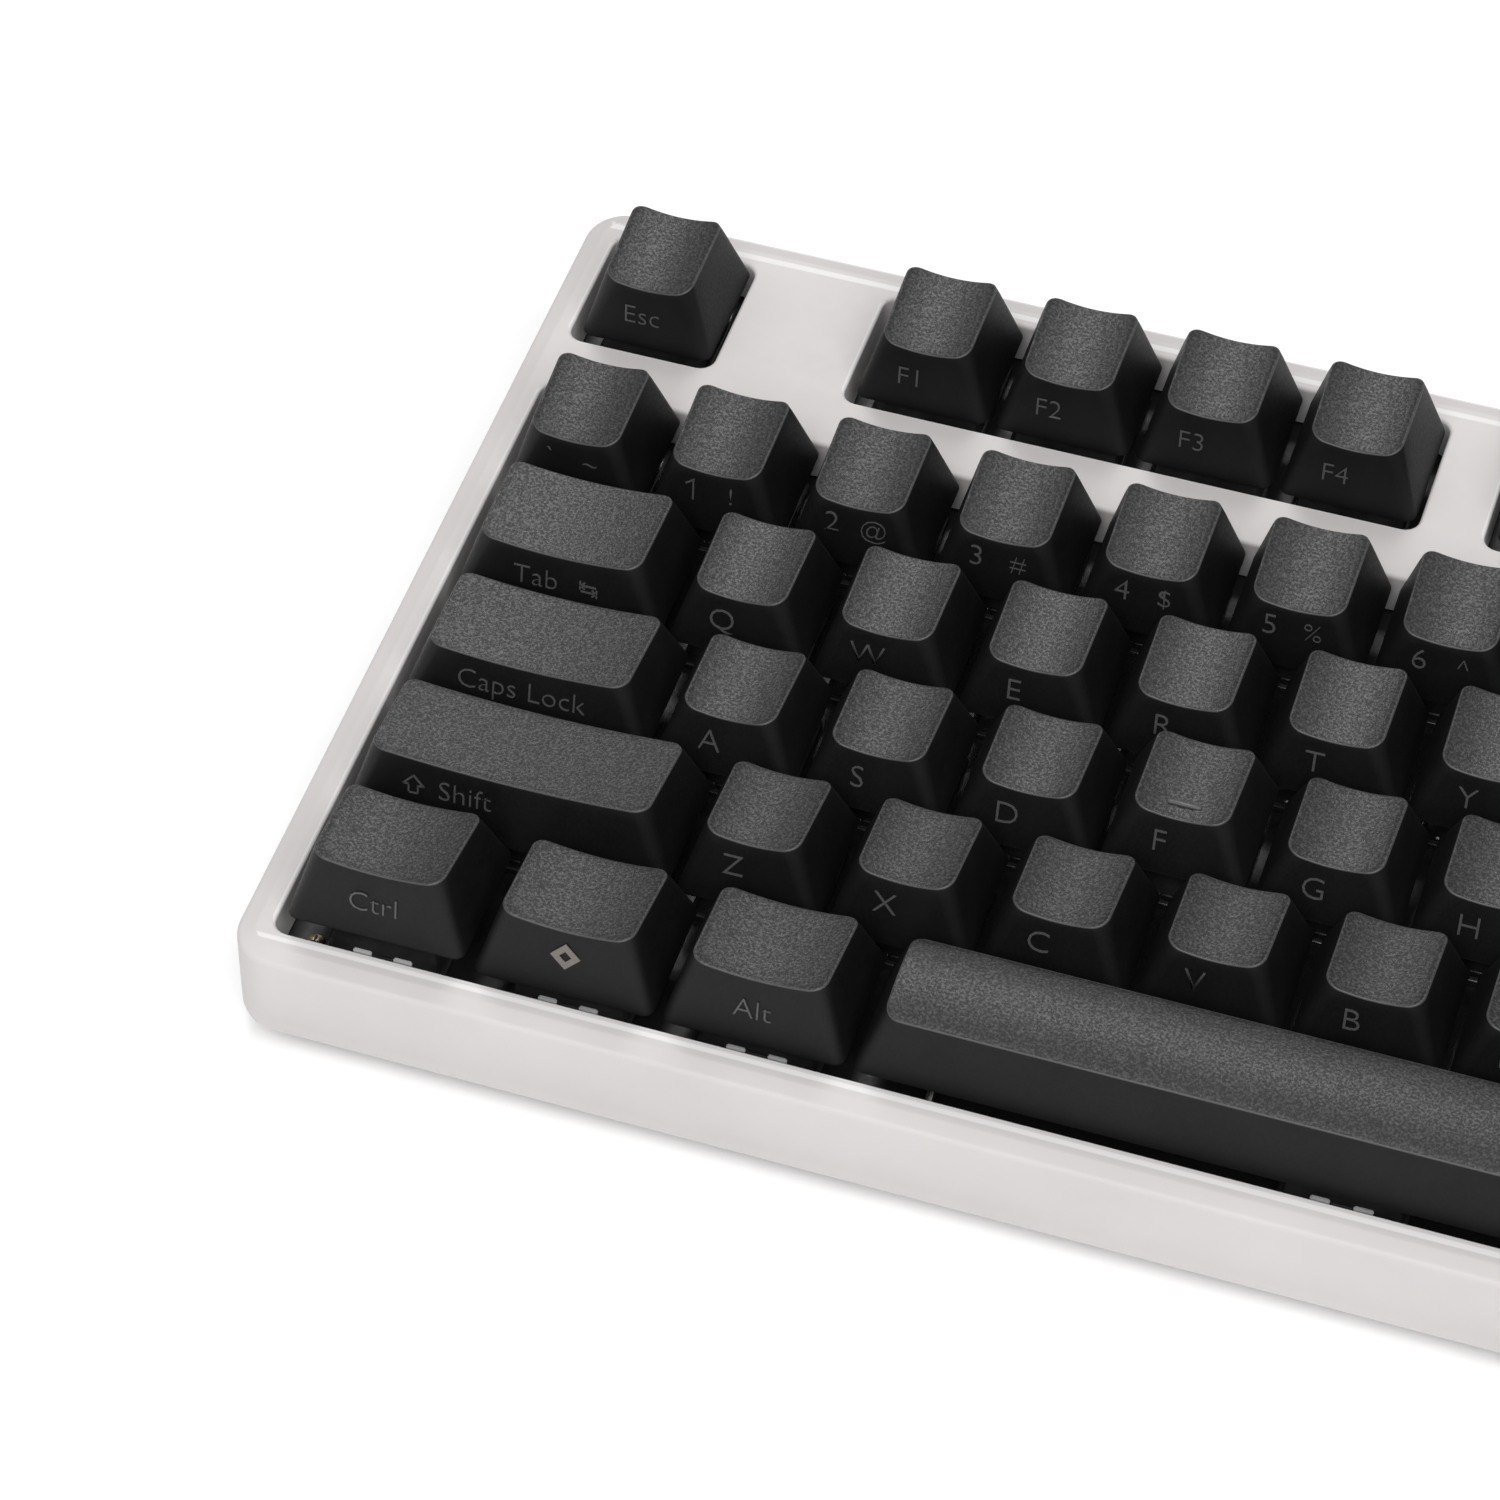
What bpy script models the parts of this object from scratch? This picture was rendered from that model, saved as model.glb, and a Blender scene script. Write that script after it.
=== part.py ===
"""A tenkeyless mechanical keyboard with 87 sculpted keycaps, at rest on a desk.

Every piece hangs from one of two empties, and is drawn in its frame, in millimetres with +X to
the right and +Y towards the back:
  desk_frame  +Z straight up from the desk, for the bottom case, its feet and its pads
  key_frame   +Z square to the switch plate, for everything else; its origin is the front left
              corner of the key grid, level with the bottom edge of the keycap skirts
"""

import math

import bmesh
import bpy
from mathutils import Matrix, Vector

MM = 0.001

# ---------------------------------------------------------------- driving sizes, mm and degrees
key_pitch = 19.05          # one key unit, centre to centre
typing_angle = 4.5         # slope of the key field over the desk
key_field_height = 18.0    # skirt edge of the front row above the desk, at the grid's front edge
key_travel = 4.0           # how far a key goes down

side_bezel = 5.7           # key grid to the outside of the case, left and right
front_bezel = 6.0
back_bezel = 5.7
case_corner = 6.0          # plan radius of the case's corners
rim_height = 0.35          # top of the case over the skirt edges
rim_slope = 0.45           # the bezel falls this much from the wells to the outer edge
case_edge = 1.2            # rounding of the outer top edge
case_skirt = 13.1          # skirt edges down to the lower edge of the top case
case_wall = 2.0            # thickness of the case walls
case_undercut = 3.3        # the bottom case slopes in by this much, down to its underside
well_margin = 0.5          # key grid to the wall of a well
well_corner = 2.0
well_wall = 1.2            # thickness of a well's own wall

plate_depth = 6.2          # skirt edges down to the top of the switch plate
plate_thickness = 1.5
board_depth = 5.0          # top of the plate down to the top of the circuit board
board_thickness = 1.6

cap_gap = 0.95             # between the skirts of two neighbouring keycaps
cap_wall = 1.5
cap_roof = 1.4             # thickness over the hollow of a keycap
cap_inset_back = 3.37      # edge of the cell to the edge of the cap's top, along its back
cap_inset_front = 3.6
dish_depth = 1.0           # the top of a keycap is a shallow trough from front to back
space_crown = 1.1          # the space bar's top is a low ridge instead
slider_side = 5.2          # square slider under each cap, running in the switch
slider_drop = 2.6          # skirt edge down to the end of the slider

housing_height = 6.5       # switch housing over the plate
housing_taper = 2.6        # the housing narrows by this much on each side

foot_width = 36.0          # flip-out feet at the back
foot_length = 24.0
foot_thickness = 4.6
foot_pin_radius = 1.4
foot_pin_length = 1.5
foot_from_side = 14.0      # outside of the case to the foot
foot_from_back = 9.0
pad_length = 40.0          # rubber pads
pad_width = 9.0
pad_proud = 1.0            # pads stand out of the case this far
pad_inset = 0.8            # and are let into it this far
pad_from_side = 16.0
pad_from_front = 8.0
pad_corner = 3.0
pad_edge = 0.4

socket_width = 9.0         # USB socket under the board
socket_height = 3.2
socket_length = 7.4
socket_unit = 3.0          # its centre, in key units from the left
socket_wall = 0.35
plug_room = 1.8            # clear space around the socket for a plug's grip
wire_radius = 0.7          # space bar stabiliser
wire_half_span = 50.0
wire_reach = 9.5           # from the wire's long bar back to its ends

clearance = 0.3            # between any two fixed pieces
sliding_clearance = 0.6    # between a slider and its switch
pin_clearance = 0.35       # around a foot's pins

# ---------------------------------------------------------------- colours: RGB, roughness, metallic
white_plastic = ((0.70, 0.68, 0.66), 0.35, 0.0)
cap_plastic = ((0.012, 0.012, 0.013), 0.55, 0.0)
dark_paint = ((0.02, 0.02, 0.022), 0.45, 0.0)
clear_plastic = ((0.55, 0.56, 0.57), 0.15, 0.0)
bright_metal = ((0.75, 0.74, 0.72), 0.25, 1.0)
black_rubber = ((0.02, 0.02, 0.02), 0.8, 0.0)

# ---------------------------------------------------------------- key layout, in key units
f_row_gap = 0.5
block_gap = 0.25
main_width = 15.0
block_width = 3.0
rows = {                   # name: front edge of the row, profile of its caps
    "ctrl": (0.0, "low"),
    "shift": (1.0, "low"),
    "caps": (2.0, "home"),
    "tab": (3.0, "upper"),
    "number": (4.0, "high"),
    "f": (5.0 + f_row_gap, "high"),
}
# Each profile is the back and front edge of a cap's top: distance behind the cell's centre, height.
profiles = {
    "high": ((6.0, 11.3), (-7.4, 10.2)),
    "upper": ((6.7, 9.2), (-6.9, 9.3)),
    "home": ((7.3, 7.5), (-6.4, 8.8)),
    "low": ((7.1, 8.2), (-6.5, 10.4)),
    "space": ((6.6, 7.9), (-6.6, 8.6)),
}
right_block = main_width + block_gap


def run(row, start, names, width=1.0):
    """Neighbouring keys of one width: (name, row, left edge, width) for each."""
    return [(name, row, start + i * width, width) for i, name in enumerate(names)]


single_keys = (
    run("f", 0.0, ["esc"])
    + run("f", 2.0, ["f1", "f2", "f3", "f4"])
    + run("number", 0.0, ["grave", "1", "2", "3", "4", "5", "6"])
    + run("tab", 0.0, ["tab"], 1.5)
    + run("tab", 1.5, ["q", "w", "e", "r", "t", "y"])
    + run("caps", 0.0, ["caps_lock"], 1.75)
    + run("caps", 1.75, ["a", "s", "d", "f", "g", "h"])
    + run("caps", 12.75, ["enter"], 2.25)
    + run("shift", 0.0, ["shift_left"], 2.25)
    + run("shift", 2.25, ["z", "x", "c", "v", "b"])
    + run("shift", 12.25, ["shift_right"], 2.75)
    + run("ctrl", 0.0, ["ctrl_left", "logo_left", "alt_left"], 1.25)
    + run("ctrl", 3.75, ["space"], 6.25)
)
# Keys that share one moving piece, joined by low webs between their skirts.
key_banks = {
    "f5_to_f8": run("f", 6.5, ["f5", "f6", "f7", "f8"]),
    "f9_to_f12": run("f", 11.0, ["f9", "f10", "f11", "f12"]),
    "print_to_pause": run("f", right_block, ["print", "scroll", "pause"]),
    "7_to_backspace": run("number", 7.0, ["7", "8", "9", "0", "minus", "equals"])
    + run("number", 13.0, ["backspace"], 2.0),
    "u_to_backslash": run("tab", 7.5, ["u", "i", "o", "p", "bracket_left", "bracket_right"])
    + run("tab", 13.5, ["backslash"], 1.5),
    "j_to_quote": run("caps", 7.75, ["j", "k", "l", "semicolon", "quote"]),
    "n_to_slash": run("shift", 7.25, ["n", "m", "comma", "dot", "slash"]),
    "right_modifiers": run("ctrl", 10.0, ["alt_right", "logo_right", "menu", "ctrl_right"], 1.25),
    "navigation": run("number", right_block, ["insert", "home", "page_up"])
    + run("tab", right_block, ["delete", "end", "page_down"]),
    "arrows": run("shift", right_block + 1.0, ["up"])
    + run("ctrl", right_block, ["left", "down", "right"]),
}
# Wells in the top case: left, right, front and back edge.
f_row_front = rows["f"][0]
wells = [
    (0.0, 1.0, f_row_front, f_row_front + 1.0),
    (2.0, 6.0, f_row_front, f_row_front + 1.0),
    (6.5, 10.5, f_row_front, f_row_front + 1.0),
    (11.0, 15.0, f_row_front, f_row_front + 1.0),
    (right_block, right_block + block_width, f_row_front, f_row_front + 1.0),
    (0.0, main_width, 0.0, 5.0),
    (right_block, right_block + block_width, 3.0, 5.0),
    (right_block, right_block + block_width, 0.0, 1.0),
    (right_block + 1.0, right_block + 2.0, 0.0, 2.0),
]

# ---------------------------------------------------------------- sizes that follow
grid_width = (right_block + block_width) * key_pitch
grid_depth = (f_row_front + 1.0) * key_pitch
case_left, case_right = -side_bezel, grid_width + side_bezel
case_front, case_back = -front_bezel, grid_depth + back_bezel
plate_top = -plate_depth
plate_bottom = plate_top - plate_thickness
board_top = plate_top - board_depth
board_bottom = board_top - board_thickness
cell_half = key_pitch / 2
skirt_half = cell_half - cap_gap / 2
housing_half = skirt_half - cap_wall               # widest part, resting on the plate
hole_half = housing_half - 0.5                     # square hole in the plate
slope = math.radians(typing_angle)
pad_top = pad_proud + pad_inset
floor_top = pad_proud + case_wall + clearance + 0.2
frame_inset = case_wall + clearance                # case outside to the tray wall's outside
tray_inset = frame_inset + case_wall               # case outside to the tray wall's inside
# The stabiliser's long bar lies just over the plate, in front of the space bar's switch. Its ends
# reach back and up to the legs, and come down level with the bar when the key is pressed.
wire_front = cell_half - housing_half - clearance - wire_radius - 0.1
wire_height = plate_top + clearance + wire_radius + 0.05
wire_end_height = wire_height + key_travel
wire_slope = math.atan2(key_travel, wire_reach)


def tilted(x, y, z):
    """A point of the key frame, in the desk frame."""
    return (
        x,
        y * math.cos(slope) - z * math.sin(slope),
        key_field_height + y * math.sin(slope) + z * math.cos(slope),
    )


def carried_down(x, y, height):
    """A point of the key frame's XY plane, carried square to the plate to a height over the desk."""
    return tilted(x, y, (height - key_field_height - y * math.sin(slope)) / math.cos(slope))


# ---------------------------------------------------------------- solids
def new_object(name, data, colour=white_plastic):
    """An object in the scene, with a material of its own."""
    made = bpy.data.objects.new(name, data)
    bpy.context.scene.collection.objects.link(made)
    paint(made, colour)
    return made


def paint(target, colour):
    base, roughness, metallic = colour
    material = bpy.data.materials.new(target.name)
    material.use_nodes = True
    shader = material.node_tree.nodes["Principled BSDF"]
    shader.inputs["Base Color"].default_value = (*base, 1.0)
    shader.inputs["Roughness"].default_value = roughness
    shader.inputs["Metallic"].default_value = metallic
    target.data.materials.clear()
    target.data.materials.append(material)


def to_data(name, mesh):
    data = bpy.data.meshes.new(name)
    mesh.to_mesh(data)
    mesh.free()
    return data


def make(name, points, faces):
    """A mesh object from points in millimetres, with every face turned outwards."""
    mesh = bmesh.new()
    vertices = [mesh.verts.new(Vector(point) * MM) for point in points]
    for face in faces:
        mesh.faces.new([vertices[i] for i in face])
    bmesh.ops.recalc_face_normals(mesh, faces=mesh.faces)
    return new_object(name, to_data(name, mesh))


def smooth(target, angle=35):
    """Shades the round faces smooth and keeps the edges sharp."""
    target.data.shade_smooth()
    target.data.set_sharp_from_angle(angle=math.radians(angle))
    return target


def stack(name, rings):
    """A closed solid through rings of the same number of points; the first and last are its ends."""
    count = len(rings[0])
    points = [point for one in rings for point in one]
    faces = [range(count), range(len(points) - count, len(points))]
    for level in range(len(rings) - 1):
        low = level * count
        for i in range(count):
            after = (i + 1) % count
            faces.append((low + i, low + after, low + count + after, low + count + i))
    return make(name, points, faces)


def rounded(left, right, front, back, radius, steps):
    """Outline of a rectangle with round corners, as (x, y) pairs."""
    corners = (
        (right - radius, back - radius, 0),
        (left + radius, back - radius, 90),
        (left + radius, front + radius, 180),
        (right - radius, front + radius, 270),
    )
    outline = []
    for x, y, start in corners:
        for step in range(steps + 1):
            turn = math.radians(start + 90 * step / steps)
            outline.append((x + radius * math.cos(turn), y + radius * math.sin(turn)))
    return outline


def square(x, y, half):
    return [(x - half, y - half), (x + half, y - half), (x + half, y + half), (x - half, y + half)]


def level(outline, z):
    """An outline lifted to a height, which may be a number or a function of y."""
    return [(x, y, z(y) if callable(z) else z) for x, y in outline]


def prism(name, outline, low, high):
    return stack(name, [level(outline, low), level(outline, high)])


def box(name, left, right, front, back, low, high):
    return prism(name, [(left, front), (right, front), (right, back), (left, back)], low, high)


def bar(name, left, right, y, z, radius, sides=12):
    """A round bar along X."""
    mesh = bmesh.new()
    bmesh.ops.create_cone(
        mesh, cap_ends=True, segments=sides, radius1=radius * MM, radius2=radius * MM,
        depth=(right - left) * MM,
    )
    middle = Vector(((left + right) / 2, y, z)) * MM
    bmesh.ops.rotate(mesh, verts=mesh.verts, matrix=Matrix.Rotation(math.pi / 2, 3, "Y"))
    bmesh.ops.translate(mesh, verts=mesh.verts, vec=middle)
    return new_object(name, to_data(name, mesh))


def gather(name, pieces):
    """Separate solids that don't touch, kept in one mesh as one Boolean operand."""
    mesh = bmesh.new()
    for piece in pieces:
        copy = piece.data.copy()
        copy.transform(piece.matrix_basis)
        mesh.from_mesh(copy)
        bpy.data.objects.remove(piece)
    return new_object(name, to_data(name, mesh))


def combine(target, operation, other):
    """Cuts another solid from the target, or adds it, and removes it."""
    modifier = target.modifiers.new("combine", "BOOLEAN")
    modifier.operation = operation
    modifier.solver = "EXACT"
    modifier.object = other
    bpy.context.view_layer.update()
    graph = bpy.context.evaluated_depsgraph_get()
    data = bpy.data.meshes.new_from_object(target.evaluated_get(graph))
    target.modifiers.clear()
    target.data = data
    bpy.data.objects.remove(other)
    return target


def cut(target, other):
    return combine(target, "DIFFERENCE", other)


def add(target, other):
    return combine(target, "UNION", other)


# ---------------------------------------------------------------- keys
def cell(row, start, width):
    """Centre and half width of a key's cell."""
    centre_x = (start + width / 2) * key_pitch
    centre_y = (rows[row][0] + 0.5) * key_pitch
    return centre_x, centre_y, width * cell_half


def cap_top(half, profile, across, along, dish, crown):
    """Grid of points over a cap's top, from the back edge to the front and from left to right."""
    (back, back_height), (front, front_height) = profile
    grid = []
    for j in range(along + 1):
        forward = j / along
        edge_height = back_height + (front_height - back_height) * forward
        ridge = crown * (1 - (2 * forward - 1) ** 2)
        inset = cap_inset_back + (cap_inset_front - cap_inset_back) * forward
        line = []
        for i in range(across + 1):
            share = 2 * i / across - 1
            z = edge_height + ridge - dish * (1 - share ** 2)
            y = back + (front - back) * forward
            if j == 0:             # stay in the plane of the back wall
                y = skirt_half + (back - skirt_half) * z / back_height
            if j == along:         # and of the front wall
                y = -skirt_half + (front + skirt_half) * z / front_height
            line.append((share * (half - inset), y, z))
        grid.append(line)
    return grid


def keycap(name, row, start, width):
    """A hollow keycap with the square slider that runs in its switch, standing on its own origin."""
    centre_x, centre_y, half = cell(row, start, width)
    is_space = name == "space"
    profile = profiles["space" if is_space else rows[row][1]]
    (back, back_height), (front, front_height) = profile
    across, along = (1, 4) if is_space else (4, 1)
    dish, crown = (0.0, space_crown) if is_space else (dish_depth, 0.0)
    grid = cap_top(half, profile, across, along, dish, crown)
    points = [point for line in grid for point in line]
    wide = across + 1
    top = [[j * wide + i for i in range(wide)] for j in range(along + 1)]
    faces = [
        (top[j][i], top[j][i + 1], top[j + 1][i + 1], top[j + 1][i])
        for j in range(along)
        for i in range(across)
    ]

    def ring(half_x, half_y, z):
        """Four more points: back left, back right, front right, front left."""
        first = len(points)
        outline = ((-half_x, half_y), (half_x, half_y), (half_x, -half_y), (-half_x, -half_y))
        points.extend(level(outline, z))
        return list(range(first, first + 4))

    def sleeve(a, b):
        faces.extend((a[i], a[(i + 1) % 4], b[(i + 1) % 4], b[i]) for i in range(4))

    def roof(y):
        """The hollow's ceiling: parallel to the edges of the top, below its lowest line."""
        edge = front_height + (back_height - front_height) * (y - front) / (back - front)
        return edge - dish - cap_roof

    outer_half = half - cap_gap / 2
    skirt = ring(outer_half, skirt_half, 0.0)
    faces.append([*top[0], skirt[1], skirt[0]])
    faces.append([*reversed(top[-1]), skirt[3], skirt[2]])
    faces.append([*(line[0] for line in top), skirt[3], skirt[0]])
    faces.append([*(line[-1] for line in top), skirt[2], skirt[1]])
    inner = ring(outer_half - cap_wall, skirt_half - cap_wall, 0.0)
    roof_half_y = min(-front, back) - 0.6 * cap_wall
    ceiling = ring(half - cap_inset_front - 0.8 * cap_wall, roof_half_y, roof)
    slider = slider_side / 2
    slider_root = ring(slider, slider, roof)
    slider_end = ring(slider, slider, -slider_drop)
    sleeve(skirt, inner)
    sleeve(inner, ceiling)
    sleeve(ceiling, slider_root)
    sleeve(slider_root, slider_end)
    faces.append(slider_end)
    cap = make("key_" + name, points, faces)
    paint(cap, cap_plastic)
    cap.location = Vector((centre_x, centre_y, 0.0)) * MM
    return cap


def space_bar(entry):
    """The space bar, with a leg at each end that rests on the stabiliser wire."""
    bar_cap = keycap(*entry)
    centre_x, centre_y, _ = cell(*entry[1:])
    y = wire_front + wire_reach
    low = wire_end_height + wire_radius + clearance
    high = profiles["space"][0][1] - 1.0
    legs = []
    for side in (-1, 1):
        x = centre_x + side * wire_half_span
        legs.append(box("leg", x - 2.0, x + 2.0, y - 2.0, y + 2.0, low, high))
    return add(bar_cap, gather("legs", legs))


def web(first, second):
    """A low bar joining the skirts of two neighbouring caps, or None if they aren't neighbours."""
    first_x, first_y, first_half = cell(*first[1:])
    second_x, second_y, second_half = cell(*second[1:])
    apart_x, apart_y = second_x - first_x, second_y - first_y
    reach = (cap_gap + cap_wall) / 2
    half, low, high = 2.0, 0.3, 1.5
    if abs(apart_y) < 0.01 and abs(apart_x - first_half - second_half) < 0.01:
        x = first_x + first_half
        return box("web", x - reach, x + reach, first_y - half, first_y + half, low, high)
    if abs(apart_x) < 0.01 and abs(apart_y - key_pitch) < 0.01:
        y = first_y + cell_half
        return box("web", first_x - half, first_x + half, y - reach, y + reach, low, high)
    return None


def key_bank(name, entries):
    """Keycaps that move together, joined by their webs; the origin is the first key's."""
    centre_x, centre_y, _ = cell(*entries[0][1:])
    webs = [web(a, b) for a in entries for b in entries]
    bank = add(gather("keys_" + name, [keycap(*entry) for entry in entries]),
               gather("webs", [one for one in webs if one]))
    paint(bank, cap_plastic)
    origin = Vector((centre_x, centre_y, 0.0)) * MM
    bank.data.transform(Matrix.Translation(-origin))
    bank.location = origin
    return bank


# ---------------------------------------------------------------- top case, in the key frame
def case_outline(inset, steps=4):
    return rounded(
        case_left + inset, case_right - inset, case_front + inset, case_back - inset,
        max(case_corner - inset, 1.0), steps,
    )


def well_outline(well, grow):
    left, right, front, back = (edge * key_pitch for edge in well)
    return rounded(left - grow, right + grow, front - grow, back + grow, well_corner, 3)


def plug_opening(tilt):
    """Cutter for the plug's way in through the back, centred on the socket."""
    x = socket_unit * key_pitch
    middle = board_bottom - clearance - socket_height / 2
    half_width = socket_width / 2 + plug_room
    half_height = socket_height / 2 + plug_room
    front, back = case_back - tray_inset - 3.0, case_back + 3.0
    low, high = middle - half_height, middle + half_height
    side = [(front, low), (back, low), (back, high), (front, high)]
    place = tilted if tilt else lambda *point: point
    return stack("plug", [[place(x + reach, y, z) for y, z in side] for reach in (-half_width, half_width)])


def top_case():
    """A shell with rounded top edges and a liner down each well to the switch plate."""
    edge_top = rim_height - rim_slope
    flat_inset = min(side_bezel, front_bezel, back_bezel) - well_margin
    body = stack("top_case", [
        level(case_outline(0.0), -case_skirt),
        level(case_outline(0.0), edge_top - case_edge),
        level(case_outline(0.3 * case_edge), edge_top - 0.3 * case_edge),
        level(case_outline(case_edge), edge_top),
        level(case_outline(flat_inset), rim_height),
    ])
    skin = edge_top - case_wall
    cut(body, prism("hollow", case_outline(case_wall), -case_skirt - 5.0, skin))
    for well in wells:
        liner = well_outline(well, well_margin + well_wall)
        add(body, prism("liner", liner, plate_top + clearance, skin + 0.5 * case_wall))
    for well in wells:
        cut(body, prism("well", well_outline(well, well_margin), plate_top - 5.0, rim_height + 5.0))
    return smooth(cut(body, plug_opening(tilt=False)))


# ---------------------------------------------------------------- bottom case, in the desk frame
def bottom_case():
    """A tray whose walls stand inside the top case, with pockets for the feet and the pads."""
    seam = -case_skirt - clearance

    def in_key_frame(inset, z):
        return [tilted(x, y, z) for x, y in case_outline(inset)]

    def under_seam(drop, inset):
        """An outline straight below the seam, kept just under it at the shallow front."""
        seam_points = in_key_frame(0.5, seam)
        front, back = (pick(y for _, y, _ in seam_points) for pick in (min, max))
        outline = rounded(case_left + 0.5 + inset, case_right - 0.5 - inset, front + inset,
                          back - inset, max(case_corner - inset, 2.0), 4)
        ceiling = [z - 0.1 for _, _, z in seam_points]
        return [(x, y, min(drop, high)) for (x, y), high in zip(outline, ceiling)]

    body = stack("bottom_case", [
        under_seam(pad_proud, case_undercut),
        under_seam(pad_proud + case_undercut, 0.3),
        in_key_frame(0.5, seam),
        in_key_frame(frame_inset, seam),
        in_key_frame(frame_inset, plate_bottom - clearance),
    ])
    hollow = case_outline(tray_inset)
    floor = [carried_down(x, y, floor_top) for x, y in hollow]
    cut(body, stack("hollow", [floor, [tilted(x, y, plate_bottom + 5.0) for x, y in hollow]]))
    for side in (-1, 1):
        left, right, front, back = foot_place(side)
        room = clearance + pin_clearance
        grow = room + case_wall
        ledge = foot_pin_length + case_wall
        pocket_top = pad_proud + foot_thickness + room
        add(body, box("block", left - ledge, right + ledge, front - grow, back + grow,
                      pad_proud + 0.5, pocket_top + case_wall))
        cut(body, box("pocket", left - room, right + room, front - room, back + room, -5.0, pocket_top))
        y, z = foot_pin()
        reach = room + foot_pin_length
        cut(body, bar("pin_hole", left - reach, right + reach, y, z, foot_pin_radius + pin_clearance))
    for left, right, front, back in pad_places().values():
        outline = rounded(left - clearance, right + clearance, front - clearance, back + clearance,
                          pad_corner + clearance, 3)
        cut(body, prism("recess", outline, -5.0, pad_top + clearance))
    return smooth(cut(body, plug_opening(tilt=True)))


def foot_place(side):
    """Left, right, front and back edge of the left foot (side -1) or the right one."""
    left = case_left + foot_from_side
    if side > 0:
        left = case_right - foot_from_side - foot_width
    back = case_back * math.cos(slope) - foot_from_back
    return left, left + foot_width, back - foot_length, back


def foot_pin():
    """Height and depth of the feet's pins: y and z."""
    return foot_place(-1)[3] - foot_thickness / 2, pad_proud + foot_thickness / 2


def pad_places():
    """Left, right, front and back edge of each rubber pad."""
    left = case_left + pad_from_side
    right = case_right - pad_from_side - pad_length
    front = case_front + pad_from_front
    beside_left = foot_place(-1)[1] + 8.0
    beside_right = foot_place(1)[0] - 8.0 - pad_length
    back = foot_place(-1)[3] - pad_width
    return {
        "front_pad_left": (left, left + pad_length, front, front + pad_width),
        "front_pad_right": (right, right + pad_length, front, front + pad_width),
        "rear_pad_left": (beside_left, beside_left + pad_length, back, back + pad_width),
        "rear_pad_right": (beside_right, beside_right + pad_length, back, back + pad_width),
    }


def flip_foot(name, side):
    """A flat leg on two pins at its back end, with a thinner toe; the origin is on the pins' axis."""
    left, right, front, _ = foot_place(side)
    y, z = foot_pin()
    radius = foot_thickness / 2
    half = foot_width / 2
    toe = front - y
    turns = [math.radians(-90 + 30 * step) for step in range(7)]
    profile = [(radius * math.cos(turn), radius * math.sin(turn)) for turn in turns]
    profile += [
        (toe + 6.0, radius),
        (toe + 4.0, 0.3 * radius),
        (toe + 1.0, 0.3 * radius),
        (toe, -0.2 * radius),
        (toe, -radius),
    ]
    leg = stack(name, [[(x, a, b) for a, b in profile] for x in (-half, half)])
    reach = half + foot_pin_length
    add(leg, bar("pins", -reach, reach, 0.0, 0.0, foot_pin_radius))
    leg.location = Vector(((left + right) / 2, y, z)) * MM
    return smooth(leg)


def rubber_pad(name, left, right, front, back):
    outline = rounded(left, right, front, back, pad_corner, 3)
    face = rounded(left + pad_edge, right - pad_edge, front + pad_edge, back - pad_edge,
                   pad_corner - pad_edge, 3)
    pad = stack(name, [level(face, 0.0), level(outline, pad_edge), level(outline, pad_top)])
    paint(pad, black_rubber)
    return smooth(pad)


# ---------------------------------------------------------------- inside, in the key frame
def switch_centres():
    entries = single_keys + [entry for bank in key_banks.values() for entry in bank]
    return [cell(*entry[1:])[:2] for entry in entries]


def switch_plate():
    """A flat plate with a square hole for each switch, between the tray and the well liners."""
    plate = prism("switch_plate", case_outline(frame_inset + 0.2), plate_bottom, plate_top)
    holes = [
        prism("hole", square(x, y, hole_half), plate_bottom - 2.0, plate_top + 2.0)
        for x, y in switch_centres()
    ]
    cut(plate, gather("holes", holes))
    paint(plate, dark_paint)
    return plate


def switch_housing(x, y):
    """A switch from inside the board up to its open top, with a square shaft for the slider."""
    neck = square(x, y, hole_half - clearance)
    shaft = square(x, y, slider_side / 2 + sliding_clearance)
    flange = plate_top + clearance
    return stack("housing", [
        level(neck, board_top - 0.5 * board_thickness),
        level(neck, flange),
        level(square(x, y, housing_half), flange),
        level(square(x, y, housing_half - housing_taper), plate_top + housing_height),
        level(shaft, plate_top + housing_height),
        level(shaft, -slider_drop - key_travel - sliding_clearance),
    ])


def circuit_board():
    outline = case_outline(tray_inset + 2 * clearance, 2)
    board = prism("pcb_with_switches", outline, board_bottom, board_top)
    add(board, gather("housings", [switch_housing(x, y) for x, y in switch_centres()]))
    paint(board, clear_plastic)
    return board


def usb_socket():
    """A short metal shell with a slot for the plug, hanging under the board at the back."""
    x = socket_unit * key_pitch
    high = board_bottom - clearance
    low = high - socket_height
    back = case_back - tray_inset - clearance
    front = back - socket_length
    half = socket_width / 2
    shell = box("usb_socket", x - half, x + half, front, back, low, high)
    inside = half - socket_wall
    cut(shell, box("slot", x - inside, x + inside, front + 1.5, back + 3.0, low + socket_wall,
                   high - socket_wall))
    paint(shell, bright_metal)
    return shell


def stabiliser_wire():
    """A round wire along the front of the space bar; the origin is on the axis of its long bar."""
    space = next(entry for entry in single_keys if entry[0] == "space")
    curve = bpy.data.curves.new("space_stabiliser_wire", "CURVE")
    curve.dimensions = "3D"
    curve.bevel_depth = wire_radius * MM
    curve.bevel_resolution = 2
    curve.use_fill_caps = True
    corners = [
        (-wire_half_span, wire_reach, key_travel),
        (-wire_half_span, 0.0, 0.0),
        (wire_half_span, 0.0, 0.0),
        (wire_half_span, wire_reach, key_travel),
    ]
    line = curve.splines.new("POLY")
    line.points.add(len(corners) - 1)
    for point, corner in zip(line.points, corners):
        point.co = (*(Vector(corner) * MM), 1.0)
    wire = new_object("space_stabiliser_wire", curve, bright_metal)
    wire.location = Vector((cell(*space[1:])[0], wire_front, wire_height)) * MM
    return wire


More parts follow.
